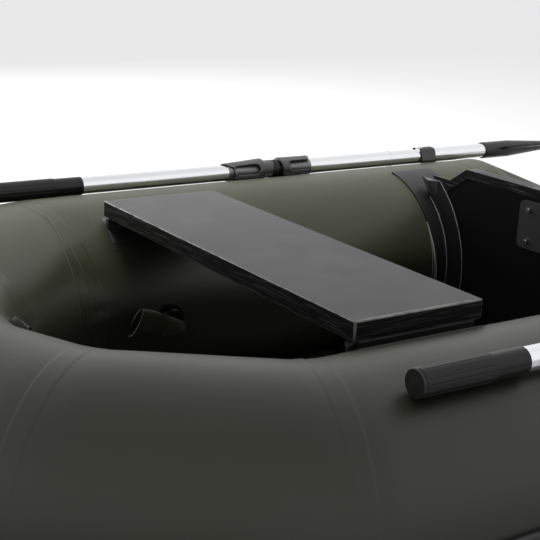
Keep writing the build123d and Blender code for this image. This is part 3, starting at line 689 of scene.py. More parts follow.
def dress_tubes(grid, tags):
    push = np.zeros(grid.shape[:2])
    for r, (seam, step) in enumerate(tags):
        for c in range(COLUMNS):
            push[r, c] = UNEVEN * noise.noise(Vector(grid[r, c]) * UNEVEN_SCALE)
        if step is None:
            continue
        near = bump_curve(step / SEAM_REACH)
        push[r] -= PINCH * near
        if abs(step) < TAPE_HALF:
            push[r] += TAPE_THICK
        if seam in BENDS:
            inner = np.clip(-np.cos(angles), 0, 1) ** 1.5 * near
            push[r] += inner * [gather(angle, seam) for angle in angles]
    return grid + outward_normals(grid) * push[:, :, None]


tube_grid = dress_tubes(tube_grid, tags)
print("tape stands", round(TAPE_THICK / MM, 1), "mm proud at", len(tube_path) - 2, "seams")

# %% [markdown]
# ## Closed ends and the tube mesh
# A round patch, blown out a little by the air, closes the narrow end of each stern cone. Both cones
# point aft, so both domes do. The flat layout follows the cloth along and around the tube.

# %% Domes and mesh
DOME_HEIGHT = 18 * MM
DOME_RINGS = 8
AFT = np.array((-1.0, 0, 0))


def end_dome(ring):
    """Rings that close a cone's end with a shallow dome; the last is a small circle."""
    centre = ring.mean(axis=0)
    rings = []
    for k in range(1, DOME_RINGS + 1):
        turn = math.pi / 2 * k / DOME_RINGS
        shrunk = (ring - centre) * max(math.cos(turn), 0.02)
        rings.append(centre + shrunk + AFT * DOME_HEIGHT * math.sin(turn))
    return rings


def tube_mesh():
    port_dome, starboard_dome = end_dome(tube_grid[0]), end_dome(tube_grid[-1])
    grid = np.array(port_dome[::-1] + list(tube_grid) + starboard_dome)
    lengths = np.linalg.norm(np.diff(grid, axis=0), axis=2).mean(axis=1)
    along = np.concatenate([[0], np.cumsum(lengths)])
    layout = [(s, angle * radius) for s in along for angle in angles]
    faces = grid_faces(len(grid), COLUMNS)
    faces.append(tuple(range(COLUMNS)))
    faces.append(tuple(range((len(grid) - 1) * COLUMNS, len(grid) * COLUMNS)))
    return grid.reshape(-1, 3), faces, layout


points, faces, layout = tube_mesh()
hull_tubes = make_piece(
    "hull_tubes", points, faces, olive_pvc, "hull",
    ("bow_tube", "port_tube", "starboard_tube", "port_stern_cone", "starboard_stern_cone"), layout,
)
print("hull tubes:", len(hull_tubes.data.polygons), "faces")

# %% [markdown]
# ## The seat board
# The board is a sawn plank with tight corners. Its face, its sawn edge and the pale line between
# them are three finishes, so the outline is built as rings: a small step in and down for each
# arris, and a material for each band of faces. The pale line is rubbed paint and a painted
# highlight of the rounded edge. A bevel modifier would not let it be wider along the board's ends,
# where it is rubbed most, and widest at the port end, where it paints the edge's highlight.

# %% Outline of the board
CORNER_STEPS = 8


def board_outline(low, high, round_aft, round_fore):
    """Corners of the board seen from above, rounded, counter-clockwise."""
    outline = []
    corners = [
        (low.x, low.y, round_aft, 180), (high.x, low.y, round_fore, 270),
        (high.x, high.y, round_fore, 0), (low.x, high.y, round_aft, 90),
    ]
    for x, y, r, start in corners:
        centre_x = x + (r if x == low.x else -r)
        centre_y = y + (r if y == low.y else -r)
        for k in range(CORNER_STEPS + 1):
            a = math.radians(start + 90 * k / CORNER_STEPS)
            outline.append(Vector((centre_x + r * math.cos(a), centre_y + r * math.sin(a))))
    return outline


def resample(outline, spacing):
    """Extra points along the straight stretches."""
    points = []
    for a, b in zip(outline, outline[1:] + outline[:1]):
        count = max(1, int((b - a).length / spacing))
        points += [a + (b - a) * k / count for k in range(count)]
    return points


seat_low, seat_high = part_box("seat_board")
seat_outline = resample(board_outline(seat_low, seat_high, 6 * MM, 3 * MM), 6 * MM)
print("seat outline:", len(seat_outline), "points")

# %% Seat board
ARRIS = 1.1 * MM
ARRIS_BANDS = ((1.2 * ARRIS, 0.0), (0.35 * ARRIS, 0.3 * ARRIS), (0.0, ARRIS))  # inset and drop
PORT_END_HIGHLIGHT, STARBOARD_END_WEAR = 4.5, 0.9  # extra width of the pale line on the top's ends: painted highlight at the port end, rubbed paint at the other
SAW_MARKS, SAW_SCALE = 0.25 * MM, (90, 90, 300)  # height, and how many in a metre each way
FILM, EDGE, WORN_AND_HIGHLIGHT = 0, 1, 2


def seat_rings():
    levels = [(inset, seat_high.z - drop) for inset, drop in ARRIS_BANDS]
    levels += [(inset, seat_low.z + drop) for inset, drop in reversed(ARRIS_BANDS)]
    points = []
    for inset, z in levels:
        on_top = seat_high.z - z < 2 * MM
        for k, p in enumerate(seat_outline):
            along = (seat_outline[(k + 1) % len(seat_outline)] - seat_outline[k - 1]).normalized()
            inward = Vector((-along.y, along.x))
            rough = SAW_MARKS * noise.noise(Vector((p.x, p.y, z)) * Vector(SAW_SCALE))
            # At the port end the pale line is widened as a painted highlight of the rounded edge.
            end_wear_and_highlight = PORT_END_HIGHLIGHT * (inward.y < -0.9) + STARBOARD_END_WEAR * (inward.y > 0.9)
            spot = p + inward * (inset * (1 + end_wear_and_highlight * on_top) + rough)
            points.append((spot.x, spot.y, z))
    return points, len(levels)


def build_seat_board():
    points, levels = seat_rings()
    count = len(seat_outline)
    faces, kinds = [], []
    for r in range(levels - 1):
        for c in range(count):
            d = (c + 1) % count
            faces.append((r * count + c, (r + 1) * count + c, (r + 1) * count + d, r * count + d))
            a, b = seat_outline[c], seat_outline[d]
            front_corner = min(a.x, b.x) > seat_high.x - 2.5 * MM and (b - a).length < 2 * MM
            sawn = r == len(ARRIS_BANDS) - 1
            kinds.append(EDGE if sawn and not front_corner else WORN_AND_HIGHLIGHT)
    faces.append(tuple(range(count)))
    faces.append(tuple(reversed(range((levels - 1) * count, levels * count))))
    kinds += [FILM, FILM]
    board = make_piece("seat_plank", points, faces, film_ply, "seat", ("seat_board",))
    board.data.materials.append(ply_edge)
    board.data.materials.append(arris_wear_and_highlight)
    for polygon, kind in zip(board.data.polygons, kinds):
        polygon.material_index = kind
        polygon.use_smooth = kind == WORN_AND_HIGHLIGHT
    return board


seat_plank = build_seat_board()
print("seat board:", len(seat_plank.data.vertices), "points")

# %% [markdown]
# ## Welded patches on the tubes
# Everything fixed to the tubes sits on a doubling patch of the same cloth, with rounded corners
# that don't lift. A patch is a grid laid on the dressed tube by rays from outside, so it follows
# each seam. It is 0.4 mm proud, and its outermost ring goes just under the cloth.

# %% Lay a grid on the hull
PATCH_GRID = 40
PATCH_THICK = 0.4 * MM
TUCK = 0.5 * MM
hull_tree = BVHTree.FromObject(hull_tubes, bpy.context.evaluated_depsgraph_get())


def on_tube(x, angle, side, lift):
    """A point on a tube, at an angle from its crest, positive inboard, lifted off the cloth."""
    out = Vector((0, -side * math.sin(angle), math.cos(angle)))
    middle = Vector((x, side * side_y, radius))
    hit = hull_tree.ray_cast(middle + out * 2 * radius, -out)[0]
    return hit + out * lift


def patch_place(r, c, half_x, half_s, corner):
    """Flat place of a grid point, drawn in at the corners, and whether it is on the rim."""
    u = math.sin(math.pi * (r / (PATCH_GRID - 1) - 0.5)) * half_x
    v = math.sin(math.pi * (c / (PATCH_GRID - 1) - 0.5)) * half_s
    over_u = max(0.0, abs(u) - half_x + corner)
    over_v = max(0.0, abs(v) - half_s + corner)
    reach = math.hypot(over_u, over_v)
    if reach > corner:
        u -= math.copysign(over_u * (1 - corner / reach), u)
        v -= math.copysign(over_v * (1 - corner / reach), v)
    return u, v, r in (0, PATCH_GRID - 1) or c in (0, PATCH_GRID - 1)


def lay_patch(name, x_range, angle_range, side, corner):
    start, end = [math.radians(a) for a in angle_range]
    half_x, half_s = (x_range[1] - x_range[0]) / 2, (end - start) / 2 * radius
    middle_x, middle_a = sum(x_range) / 2, (start + end) / 2
    points, layout = [], []
    for r in range(PATCH_GRID):
        for c in range(PATCH_GRID):
            u, v, rim = patch_place(r, c, half_x, half_s, corner)
            lift = -TUCK if rim else PATCH_THICK
            points.append(on_tube(middle_x + u, middle_a + v / radius, side, lift))
            layout.append((u, v))
    faces = grid_faces(PATCH_GRID, PATCH_GRID, closed=False)
    make_piece(name, points, faces, olive_pvc, "hull", layout=layout)


print("crest of the port tube at", [round(c, 4) for c in on_tube(0, 0, 1, 0)])

# %% Patches for the seat and the oar clips
# Angles are in degrees from the tube's crest, positive inboard.
SEAT_PATCH_ANGLES, CLIP_PATCH_ANGLES = (21, 50), (-38, -14)
SEAT_PATCH_AHEAD, SEAT_PATCH_BEHIND, CLIP_PATCH_MARGIN = 27 * MM, 20 * MM, 12 * MM
keder_low, keder_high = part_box("seat_keders")
seat_patch_x = (keder_low.x - SEAT_PATCH_BEHIND, keder_high.x + SEAT_PATCH_AHEAD)
for side, word in SIDES:
    lay_patch(word + "_seat_patch", seat_patch_x, SEAT_PATCH_ANGLES, side, 26 * MM)
    clip_low, clip_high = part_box(word + "_oar_keeper_clip")
    clip_x = (clip_low.x - CLIP_PATCH_MARGIN, clip_high.x + CLIP_PATCH_MARGIN)
    lay_patch(word + "_clip_patch", clip_x, CLIP_PATCH_ANGLES, side, 12 * MM)
print("patches laid for the seat and the oar clips")

# %% [markdown]
# ## Panel seam
# Just aft of the bow's first mitre, two panels of cloth overlap on the tube's inner side, and their
# weld shows as a thin raised line. It is a narrow strip with five points across, laid like a patch.

# %% Seam strips
SEAM_X = bend_x - 16 * MM
SEAM_ANGLES = (20, 150)
SEAM_WIDTH, SEAM_THICK, SEAM_TUCK = 7 * MM, 0.6 * MM, 0.4 * MM
SEAM_STEPS = 48
SEAM_PROFILE = (
    (-0.5, -SEAM_TUCK), (-0.36, 0.8 * SEAM_THICK), (0, SEAM_THICK),
    (0.36, 0.8 * SEAM_THICK), (0.5, -SEAM_TUCK),
)


def lay_seam(name, side):
    """A narrow raised strip around a tube."""
    points = []
    for angle in np.linspace(*np.radians(SEAM_ANGLES), SEAM_STEPS + 1):
        points += [on_tube(SEAM_X + share * SEAM_WIDTH, angle, side, lift) for share, lift in SEAM_PROFILE]
    faces = grid_faces(SEAM_STEPS + 1, len(SEAM_PROFILE), closed=False)
    make_piece(name, points, faces, olive_pvc, "hull")


for side, word in SIDES:
    lay_seam(word + "_panel_seam", side)
print("panel seams at x", round(SEAM_X, 3))

# %% [markdown]
# ## Inflation sleeves
# A loose sleeve of tube cloth lies along each tube ahead of its valve, and its flattened tail
# covers the lower half of the cap. A cloth simulation would need the sleeve's weld and fold as
# pins, for a piece 0.1 m long, so it is lofted from listed ellipses. Each has a centre, a long half
# axis that leans off the tube, and a half thickness. It is pinched where it folds over the valve.

# %% Ellipses of a sleeve
SLEEVE = [
    # centre x, y, z; long half axis x, y, z; half thickness, all in mm, starboard side
    (411, -258.0, 180.0, -6.5, 13.0, 28.0, 9.5),
    (400, -258.5, 179.2, -4.5, 11.5, 26.8, 10.0),
    (386, -259.0, 177.4, -3.0, 9.5, 24.6, 9.6),
    (373, -259.0, 174.8, -1.5, 8.0, 22.2, 8.0),
    (366, -257.0, 172.4, -1.0, 7.5, 20.4, 4.6),
    (362, -254.6, 172.2, -1.0, 6.0, 17.6, 1.7),
    (357, -251.6, 169.2, -1.0, 6.0, 20.2, 4.8),
    (350, -250.8, 168.6, -1.0, 3.5, 17.6, 4.4),
    (338, -251.4, 165.4, -0.5, 1.5, 15.0, 3.6),
    (326, -253.6, 162.0, 0.0, 0.5, 12.0, 2.8),
    (318, -257.6, 160.0, 0.5, -0.2, 9.8, 1.8),
    (310, -264.0, 158.4, 1.0, -0.5, 8.4, 1.2),
]
SLEEVE_STEPS = 5


def sleeve_rows():
    """The listed ellipses with smooth steps between them, on a Catmull-Rom curve."""
    rows = []
    table = np.array(SLEEVE) * MM
    for k in range(len(table) - 1):
        before, start = table[max(k - 1, 0)], table[k]
        end, after = table[k + 1], table[min(k + 2, len(table) - 1)]
        for j in range(SLEEVE_STEPS + (k == len(table) - 2)):
            t = j / SLEEVE_STEPS
            linear_part = (end - before) * t
            square = (2 * before - 5 * start + 4 * end - after) * t * t
            cube = (3 * start - before - 3 * end + after) * t ** 3
            rows.append((2 * start + linear_part + square + cube) / 2)
    return rows


sleeve_table = sleeve_rows()
print("sleeve:", len(sleeve_table), "rings of", AROUND)

# %% Sleeves
CLOTH_THICK = 0.9 * MM
LENS = 1.15  # 1 is an ellipse, and more has sharper folds at its two ends
PUCKER, PUCKER_SCALE = 0.5 * MM, 60  # height, and how many in a metre
FLATTENED = 0.7  # share of the long half axis that the cloth's layout turns about


def build_sleeve(word, side):
    points, layout = [], []
    for row in sleeve_table:
        centre, half, thick = Vector(row[:3]), Vector(row[3:6]), row[6]
        flat = Vector((0, half.z, -half.y)).normalized()
        for k in range(AROUND):
            turn = 2 * math.pi * k / AROUND
            lens = math.copysign(abs(math.sin(turn)) ** LENS, math.sin(turn))
            point = centre + half * math.cos(turn) + flat * thick * lens
            if thick > 3 * MM:
                point += flat * PUCKER * noise.noise(point * PUCKER_SCALE)
            points.append((point.x, -side * point.y, point.z))
            layout.append((point.x, turn * half.length * FLATTENED))
    faces = grid_faces(len(sleeve_table), AROUND)
    if side > 0:
        faces = [tuple(reversed(face)) for face in faces]
    name = word + "_inflation_sleeve"
    sleeve = make_piece(name, points, faces, sleeve_pvc, "hull", layout=layout)
    wall = sleeve.modifiers.new("wall", "SOLIDIFY")
    wall.thickness = CLOTH_THICK
    wall.offset = -1
    wall.material_offset_rim = 1
    sleeve.data.materials.append(cut_edge)
    return sleeve


port_sleeve = build_sleeve("port", 1)
starboard_sleeve = build_sleeve("starboard", -1)
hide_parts("side_keeper_loops")
print("sleeves made:", port_sleeve.name, starboard_sleeve.name)

# %% [markdown]
# ## The sleeves' cloth
# Laid flat, a sleeve is 138 mm wide at its mouth and 109 mm long, and it narrows towards its
# welded tail, so its area is less than the two multiplied.

# %% [markdown]
# ## Transom holders
# The black holders are moulded PVC angles welded to the tubes, and the transom stands in them. Each
# is a thin flange that lies on the tube, with a lip before the board and a lip behind it. The lips
# follow the tube and are cut level with its crest at their top end. All three are bars of four-point
# rings around the tube, so that a holder is one piece that can be read from its angles.

# %% Sizes of the holders
transom_low, transom_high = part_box("transom_board")
holder_low, holder_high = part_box("port_transom_holder")
LIP_THICK, LIP_HEIGHT = 4 * MM, 48 * MM
LIP_FRONT = transom_high.x + LIP_THICK
FLANGE_LOW, FLANGE_HIGH = 0.3 * MM, 2.7 * MM  # off the tube
HOLDER_START, LIP_START, HOLDER_END = 9, 25.3, 135  # degrees from the tube's crest, inboard
LIP_FULL = 37.0
LIP_FOOT, LIP_RISE = 2.3 * MM, 16 * MM  # foot off the tube, and how much higher where the lip starts
BAR_STEPS = 90


def around_tube(x, r, angle, side):
    """A point at radius r from the tube's axis, angle in degrees from the crest, inboard."""
    a = math.radians(angle)
    return Vector((x, side * (side_y - r * math.sin(a)), radius + r * math.cos(a)))


def lip_radii(angle):
    """Foot and rim of a lip: it comes down to the tube within a few degrees of its start."""
    level_cut = radius / math.cos(math.radians(angle)) if angle < 80 else math.inf
    rim = min(radius + LIP_HEIGHT, level_cut)
    fall = min(1.0, (angle - LIP_START) / (LIP_FULL - LIP_START))
    foot = radius + LIP_FOOT + (1 - fall) * LIP_RISE
    return min(foot, rim - 0.2 * MM), rim


rim_angle = math.degrees(math.acos(radius / (radius + LIP_HEIGHT)))
print("holder rim leaves its level cut at", round(rim_angle, 1), "degrees from the crest")

# %% Holders


def bar(start, end, aft, fore, radii, side):
    """A closed bar around a tube, from rings of four points."""
    rings = []
    for angle in np.linspace(start, end, BAR_STEPS):
        low, high = radii(angle)
        ring = ((aft, low), (aft, high), (fore, high), (fore, low))
        rings.append([around_tube(x, r, angle, side) for x, r in ring])
    points = [point for ring in rings for point in ring]
    faces = grid_faces(BAR_STEPS, 4)
    faces += [(3, 2, 1, 0), tuple(len(points) - 4 + k for k in range(4))]
    return points, faces


def flange_radii(angle):
    """The flange lies flat on the tube, so these are the same at every angle."""
    return radius + FLANGE_LOW, radius + FLANGE_HIGH


def build_holder(word, side):
    """Flange on the tube and a lip before and behind the board, as one piece."""
    bars = [bar(HOLDER_START, HOLDER_END, holder_low.x, holder_high.x, flange_radii, side)]
    for aft in (transom_high.x, transom_low.x - LIP_THICK):
        bars.append(bar(LIP_START, HOLDER_END, aft, aft + LIP_THICK, lip_radii, side))
    points, faces = [], []
    for bar_points, bar_faces in bars:
        faces += [tuple(i + len(points) for i in face) for face in bar_faces]
        points += bar_points
    make_piece(
        word + "_holder_angle", points, faces, black_pvc, "hull",
        (word + "_transom_holder",), smooth=False,
    )


for side, word in SIDES:
    build_holder(word, side)
print("holders made, each of three bars with", BAR_STEPS, "rings")

# %% [markdown]
# ## Edges of the holders
# Three pale details stand out: the weld bead along the root of the lip, a pale bead on its rim,
# which is a painted highlight, and the fore edge of the flange, painted pale as the highlight it
# catches, which is widest a little below half way. Beads are thin tubes that taper at both ends, and
# the edge is a strip of four lines.

# %% Beads and fore edges
ROOT_BEAD, RIM_BEAD = 1.1 * MM, 1.0 * MM  # radii
ROOT_ANGLES, RIM_END, EDGE_ANGLES = (38, 128), 133, (56, 134)
EDGE_STEPS = 60
# How far aft each line of the fore edge lies, as a share of its width, and its height in mm.
EDGE_PROFILE = ((0.0, 0.3), (0.15, 2.2), (0.5, 3.1), (1.0, 3.2))
EDGE_THIN, EDGE_WIDER = 0.6 * MM, 11.0 * MM  # width at its ends, and how much more where widest
EDGE_MIDDLE, EDGE_SPREAD = 100, 46  # degrees
EDGE_OVERHANG = 0.6 * MM


def bead(name, path, size, sides=8):
    """A thin round bead along a list of points."""
    points, last = [], len(path) - 1
    for k, point in enumerate(path):
        along = (path[min(k + 1, last)] - path[max(k - 1, 0)]).normalized()
        across = along.cross(Vector((1, 0, 0))).normalized()
        taper = 0.35 + 0.65 * min(1.0, k / 3, (last - k) / 3)
        points += circle(point, across, across.cross(along), size * taper, sides)
    faces = grid_faces(len(path), sides)
    faces.append(tuple(reversed(range(sides))))
    faces.append(tuple(range(last * sides, len(path) * sides)))
    make_piece(name, points, faces, pale_bead_and_highlight, "hull")


def holder_beads(word, side):
    root = [
        around_tube(LIP_FRONT + 0.3 * MM, radius + 3.3 * MM, angle, side)
        for angle in np.linspace(*ROOT_ANGLES, EDGE_STEPS)
    ]
    # The rim bead's pale colour is a painted highlight along the lip's top edge.
    rim = [
        around_tube(LIP_FRONT - 0.4 * MM, radius + LIP_HEIGHT - 0.4 * MM, angle, side)
        for angle in np.linspace(rim_angle + 0.6, RIM_END, EDGE_STEPS)
    ]
    bead(word + "_holder_root_bead", root, ROOT_BEAD)
    bead(word + "_holder_rim_bead", rim, RIM_BEAD)


# The fore edge's pale colour is a painted highlight, widest where the edge catches the most light.
def holder_fore_edge(word, side):
    points = []
    for angle in np.linspace(*EDGE_ANGLES, EDGE_STEPS):
        width = EDGE_THIN + EDGE_WIDER * bump_curve((angle - EDGE_MIDDLE) / EDGE_SPREAD)
        for share, lift in EDGE_PROFILE:
            x = holder_high.x + EDGE_OVERHANG - width * share
            points.append(around_tube(x, radius + lift * MM, angle, side))
    faces = grid_faces(EDGE_STEPS, len(EDGE_PROFILE), closed=False)
    make_piece(word + "_holder_fore_edge", points, faces, fore_edge_highlight_pvc, "hull")


print("beads are", 2 * ROOT_BEAD / MM, "and", 2 * RIM_BEAD / MM, "mm thick")

# %% [markdown]
# ## Gusset at the lip's top
# At its top the moulding is folded forward into a small gusset: three folds between five corners,
# with a bevel that rounds them as the mould does.

# %% Gussets
GUSSET_Y = (85 * MM, 137 * MM)  # inboard of the tube's centre line
NOSE_Y, NOSE_REACH = 112 * MM, 9 * MM
ROOT_PLACE, FOLD_PLACE = (3 * MM, 37.0), (22 * MM, 43.0)  # off the tube, degrees from its crest


def holder_gusset(word, side):
    x, crest = LIP_FRONT - 1 * MM, 2 * radius - 0.3 * MM
    left, right = [Vector((x, side * (side_y - y), crest)) for y in GUSSET_Y]
    nose = Vector((LIP_FRONT + NOSE_REACH, side * (side_y - NOSE_Y), crest - 0.5 * MM))
    root, fold = [around_tube(x, radius + off, angle, side) for off, angle in (ROOT_PLACE, FOLD_PLACE)]
    points = [left, right, nose, root, fold]
    faces = [(0, 2, 1), (0, 3, 2), (2, 3, 4), (1, 2, 4), (0, 1, 4, 3)]
    name = word + "_holder_gusset"
    gusset = make_piece(name, points, faces, keder_pvc, "hull", smooth=False)
    soft = gusset.modifiers.new("rounded folds", "BEVEL")
    soft.width = 1.6 * MM
    soft.segments = 3
    soft.limit_method = "NONE"


for side, word in SIDES:
    holder_beads(word, side)
    holder_fore_edge(word, side)
    holder_gusset(word, side)
print("beads, edges and gussets made for both holders")

# %% [markdown]
# ## Rowlock cradles
# Each cradle is a moulded nylon shell around the oar, in two halves with a neck between them. The
# real one has windows with clean rounded rims. Cutting them with booleans leaves long thin faces, so
# the shell is unrolled as a grid, along the oar and around it. Faces are left out where the windows
# and the pivot slot are, and grid points near a window's rim are moved onto it.

# %% Windows of the cradle
# Sizes are in mm: x runs along the oar from the pivot, and s around the shell from its top.
FORE_WINDOW = (30, 88, 22, 44)
AFT_WINDOW = (-104, -42, 21, 43)
WINDOW_ROUND = 10
UNROLL_RADIUS = 22
SNAP, PROBE = 0.9, 0.05


def window_distance(x, s, window):
    """Signed distance from a rounded window's rim, negative inside it."""
    x_low, x_high, s_low, s_high = window
    dx = max(x_low + WINDOW_ROUND - x, x - x_high + WINDOW_ROUND, 0)
    ds = max(s_low + WINDOW_ROUND - s, s - s_high + WINDOW_ROUND, 0)
    inside = min(x - x_low, x_high - x, s - s_low, s_high - s)
    return math.hypot(dx, ds) - WINDOW_ROUND if dx or ds else -inside


def snap_to_rims(x, s):
    """Moves a point that is near a rim onto it, in two steps."""
    for window in (FORE_WINDOW, AFT_WINDOW):
        for _ in range(2):
            d = window_distance(x, s, window)
            if abs(d) < SNAP:
                slope_x = (window_distance(x + PROBE, s, window) - d) / PROBE
                slope_s = (window_distance(x, s + PROBE, window) - d) / PROBE
                x, s = x - slope_x * d, s - slope_s * d
    return x, s


print("windows are", FORE_WINDOW[1] - FORE_WINDOW[0], "and", AFT_WINDOW[1] - AFT_WINDOW[0], "mm long")

# %% Section and ends of the cradle
# Sizes are in mm, turns in degrees from the shell's top, and tapers in mm per mm.
NECK_RADIUS, NECK_AFT, NECK_FORE = 19.0, -22, 12
FORE_RADIUS, FORE_TAPER, FORE_TAPER_START, FORE_SHOULDER = 24.0, 5.0 / 88, 18, 7
AFT_RADIUS, AFT_TAPER, AFT_TAPER_START, AFT_SHOULDER = 22.8, 0.8 / 80, -20, 5
FLARE_TURN, FLARE_WIDTH, FLARE = 118, 14, 2.2
AFT_HORN, AFT_CUT, FORE_HORN, FORE_CUT, SIDE_CUT = -98, 5, 107, 13, 4
SIDE_TURN = 60
SLOT_TOP, SLOT_AFT, SLOT_FORE, SLOT_SLANT = 22, -27, -8, 7


def shell_radius(x, turn):
    """Outer radius in mm: a tapering fore half, a low neck and a nearly straight aft half."""
    shape = NECK_RADIUS
    if x > NECK_FORE:
        fore = FORE_RADIUS - FORE_TAPER * max(0, x - FORE_TAPER_START)
        shape += (fore - NECK_RADIUS) * (1 - bump_curve((x - NECK_FORE) / FORE_SHOULDER))
    elif x < NECK_AFT:
        aft = AFT_RADIUS - AFT_TAPER * max(0, AFT_TAPER_START - x)
        shape += (aft - NECK_RADIUS) * (1 - bump_curve((NECK_AFT - x) / AFT_SHOULDER))
    return float(shape) + FLARE * max(0.0, (abs(turn) - FLARE_TURN) / FLARE_WIDTH)


def shell_ends(turn):
    """Aft and fore end at this angle: a horn on top, cut back at the sides."""
    share = min(1.0, abs(turn) / SIDE_TURN)
    aft = AFT_HORN + AFT_CUT * share ** 2
    fore = FORE_HORN - FORE_CUT * share ** 2 - SIDE_CUT * (abs(turn) > SIDE_TURN)
    return aft, fore


def in_pivot_slot(x, turn):
    """Whether a place lies in the slot, which slants on its way down from the shell's top."""
    slot_aft = SLOT_AFT + SLOT_SLANT * max(0, 90 - abs(turn)) / 90
    slot_fore = SLOT_FORE + SLOT_SLANT * max(0, abs(turn) - SIDE_TURN) / SIDE_TURN
    return abs(turn) > SLOT_TOP and slot_aft < x < slot_fore


print("shell radius at the neck", NECK_RADIUS, "and at its fore half", shell_radius(20, 0), "mm")

# %% Unrolled grid of the cradle
GRID_ROWS, GRID_COLUMNS = 141, 67
SHELL_TURN = 132


def cradle_grid():
    """Places as (x in mm, turn in degrees), and the faces that are left."""
    spots = []
    for t in np.linspace(0, 1, GRID_ROWS):
        for turn in np.linspace(-SHELL_TURN, SHELL_TURN, GRID_COLUMNS):
            aft, fore = shell_ends(turn)
            x, s = snap_to_rims(aft + (fore - aft) * t, math.radians(abs(turn)) * UNROLL_RADIUS)
            spots.append((x, math.copysign(math.degrees(s / UNROLL_RADIUS), turn)))
    faces = []
    for face in grid_faces(GRID_ROWS, GRID_COLUMNS, closed=False):
        x, turn = [sum(spots[i][axis] for i in face) / 4 for axis in (0, 1)]
        s = math.radians(abs(turn)) * UNROLL_RADIUS
        in_window = min(window_distance(x, s, w) for w in (FORE_WINDOW, AFT_WINDOW)) < -0.02
        if not in_window and not in_pivot_slot(x, turn):
            faces.append(face)
    return spots, faces


cradle_spots, cradle_faces = cradle_grid()
print("cradle grid:", len(cradle_spots), "points and", len(cradle_faces), "faces")

# %% [markdown]
# ## Rolling the cradles up
# The grid is rolled about the oar. The rowlock leans outboard with its swivel axis, so the rolling
# is done in its own leaning frame. The shell's lower rims end in a flat foot. A Solidify modifier
# gives the wall last, so the windows get walls too.

# %% Cradle shells
CRADLE_TILT = math.radians(16)
FOOT_TURN, FOOT_DEPTH = 129, 17.4 * MM
SHELL_WALL = 2.0 * MM


def build_cradle(word, side):
    pivot = Vector(joints[word + "_oar_swing"]["pos_m"])
    out = Vector((0, side * math.cos(CRADLE_TILT), -math.sin(CRADLE_TILT)))
    up = Vector((0, side * math.sin(CRADLE_TILT), math.cos(CRADLE_TILT)))
    points = []
    for x, turn in cradle_spots:
        r, a = shell_radius(x, turn) * MM, math.radians(turn)
        height = r * math.cos(a) if abs(turn) <= FOOT_TURN else -FOOT_DEPTH
        points.append(pivot + Vector((x * MM, 0, 0)) + out * r * math.sin(a) + up * height)
    faces = cradle_faces
    if side < 0:
        faces = [tuple(reversed(face)) for face in faces]
    cradle = make_piece(
        word + "_rowlock_shell", points, faces, grey_nylon, word + "_rowlock",
        (word + "_rowlock_cradle",),
    )
    wall = cradle.modifiers.new("wall", "SOLIDIFY")
    wall.thickness = SHELL_WALL
    wall.offset = 1


print("shells lean", round(math.degrees(CRADLE_TILT), 1), "degrees outboard")

# %% [markdown]
# ## Shade in the pivot slots
# Through the slot of a shell one sees dark shade. A black tube behind the slot paints it; it has
# chamfered ends and is made from four rings.

# %% Slot shade, and both rowlocks
SLOT_SHADE_PROFILE = ((-28, 17.5), (-27.5, 18.3), (-5, 18.3), (-4.5, 17.5))  # x and radius in mm


def build_slot_shade(word):
    pivot = Vector(joints[word + "_oar_swing"]["pos_m"])
    points = []
    for x, r in SLOT_SHADE_PROFILE:
        points += circle(pivot + Vector((x * MM, 0, 0)), ACROSS, UP, r * MM)
    faces = grid_faces(len(SLOT_SHADE_PROFILE), AROUND)
    name = word + "_pivot_slot_shade"
    # Black valve plastic here is painted shade inside the slot.
    make_piece(name, points, faces, valve_plastic, word + "_rowlock")


for side, word in SIDES:
    build_cradle(word, side)
    build_slot_shade(word)
print("rowlock shells and slot shades made")

# %% [markdown]
# ## Grip caps and seat track lips
# A pressed cap closes each grip: a shallow dome with a rolled rim, which shows as a bright ring. The
# seat's tracks have a thin outer lip, painted pale as a highlight, which draws a bright line under
# the board.

# %% Grip caps
# How far ahead of the grip each ring of the cap lies, in mm, and its share of the grip's radius.
CAP_PROFILE = (
    (0.3, 1.0), (1.6, 1.0), (2.5, 0.97), (2.9, 0.92), (2.7, 0.86), (2.5, 0.80), (3.4, 0.4), (3.7, 0.02)
)


def build_grip_cap(word):
    low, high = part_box(word + "_oar_grip")
    size = (high.z - low.z) / 2
    points = []
    for ahead, share in CAP_PROFILE:
        centre = Vector((high.x + ahead * MM, (low.y + high.y) / 2, (low.z + high.z) / 2))
        points += circle(centre, ACROSS, UP, size * share)
    faces = grid_faces(len(CAP_PROFILE), AROUND)
    faces.append(tuple(range(len(points) - AROUND, len(points))))
    make_piece(word + "_grip_cap", points, faces, cap_pvc, word + "_oar")


print("a cap reaches", CAP_PROFILE[-1][0], "mm past its grip")

# %% Track lips
TRACK_POINTS = 30
LIP_PROFILE = ((0, -1), (0.8, -0.6), (0.8, 0.6), (0, 1))  # outboard and up, in mm
LIP_OUT, LIP_DOWN, LIP_SHORT = 0.4 * MM, 3.2 * MM, 2 * MM  # past the track, below its top, off its ends
track_low, track_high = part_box("seat_tracks")


# The lip's pale colour is a painted highlight, the bright line under the board.
def build_track_lip(word, side):
    lip_y, lip_z = side * (track_high.y + LIP_OUT), track_high.z - LIP_DOWN
    points = []
    for x in np.linspace(track_low.x + LIP_SHORT, track_high.x - LIP_SHORT, TRACK_POINTS):
        points += [(x, lip_y + side * out * MM, lip_z + up * MM) for out, up in LIP_PROFILE]
    faces = grid_faces(TRACK_POINTS, len(LIP_PROFILE))
    make_piece(word + "_track_lip", points, faces, pale_bead_and_highlight, "seat")


for side, word in SIDES:
    build_grip_cap(word)
    build_track_lip(word, side)
print("caps and lips made, tracks", round(track_high.x - track_low.x, 3), "m long")

# %% [markdown]
# ## Studio floor
# The boat stands on a pale floor under soft light. White comes from what the camera and the
# reflections see, not from more light on the boat, so the floor glows for camera and glossy rays
# only. It is paper grey underneath, so that it keeps the boat's shadow.

# %% Floor
CAMERA_GLOW, MIRRORED_GLOW = 0.78, 0.45
FLOOR_HALF, FLOOR_DROP = 30.0, 0.0005


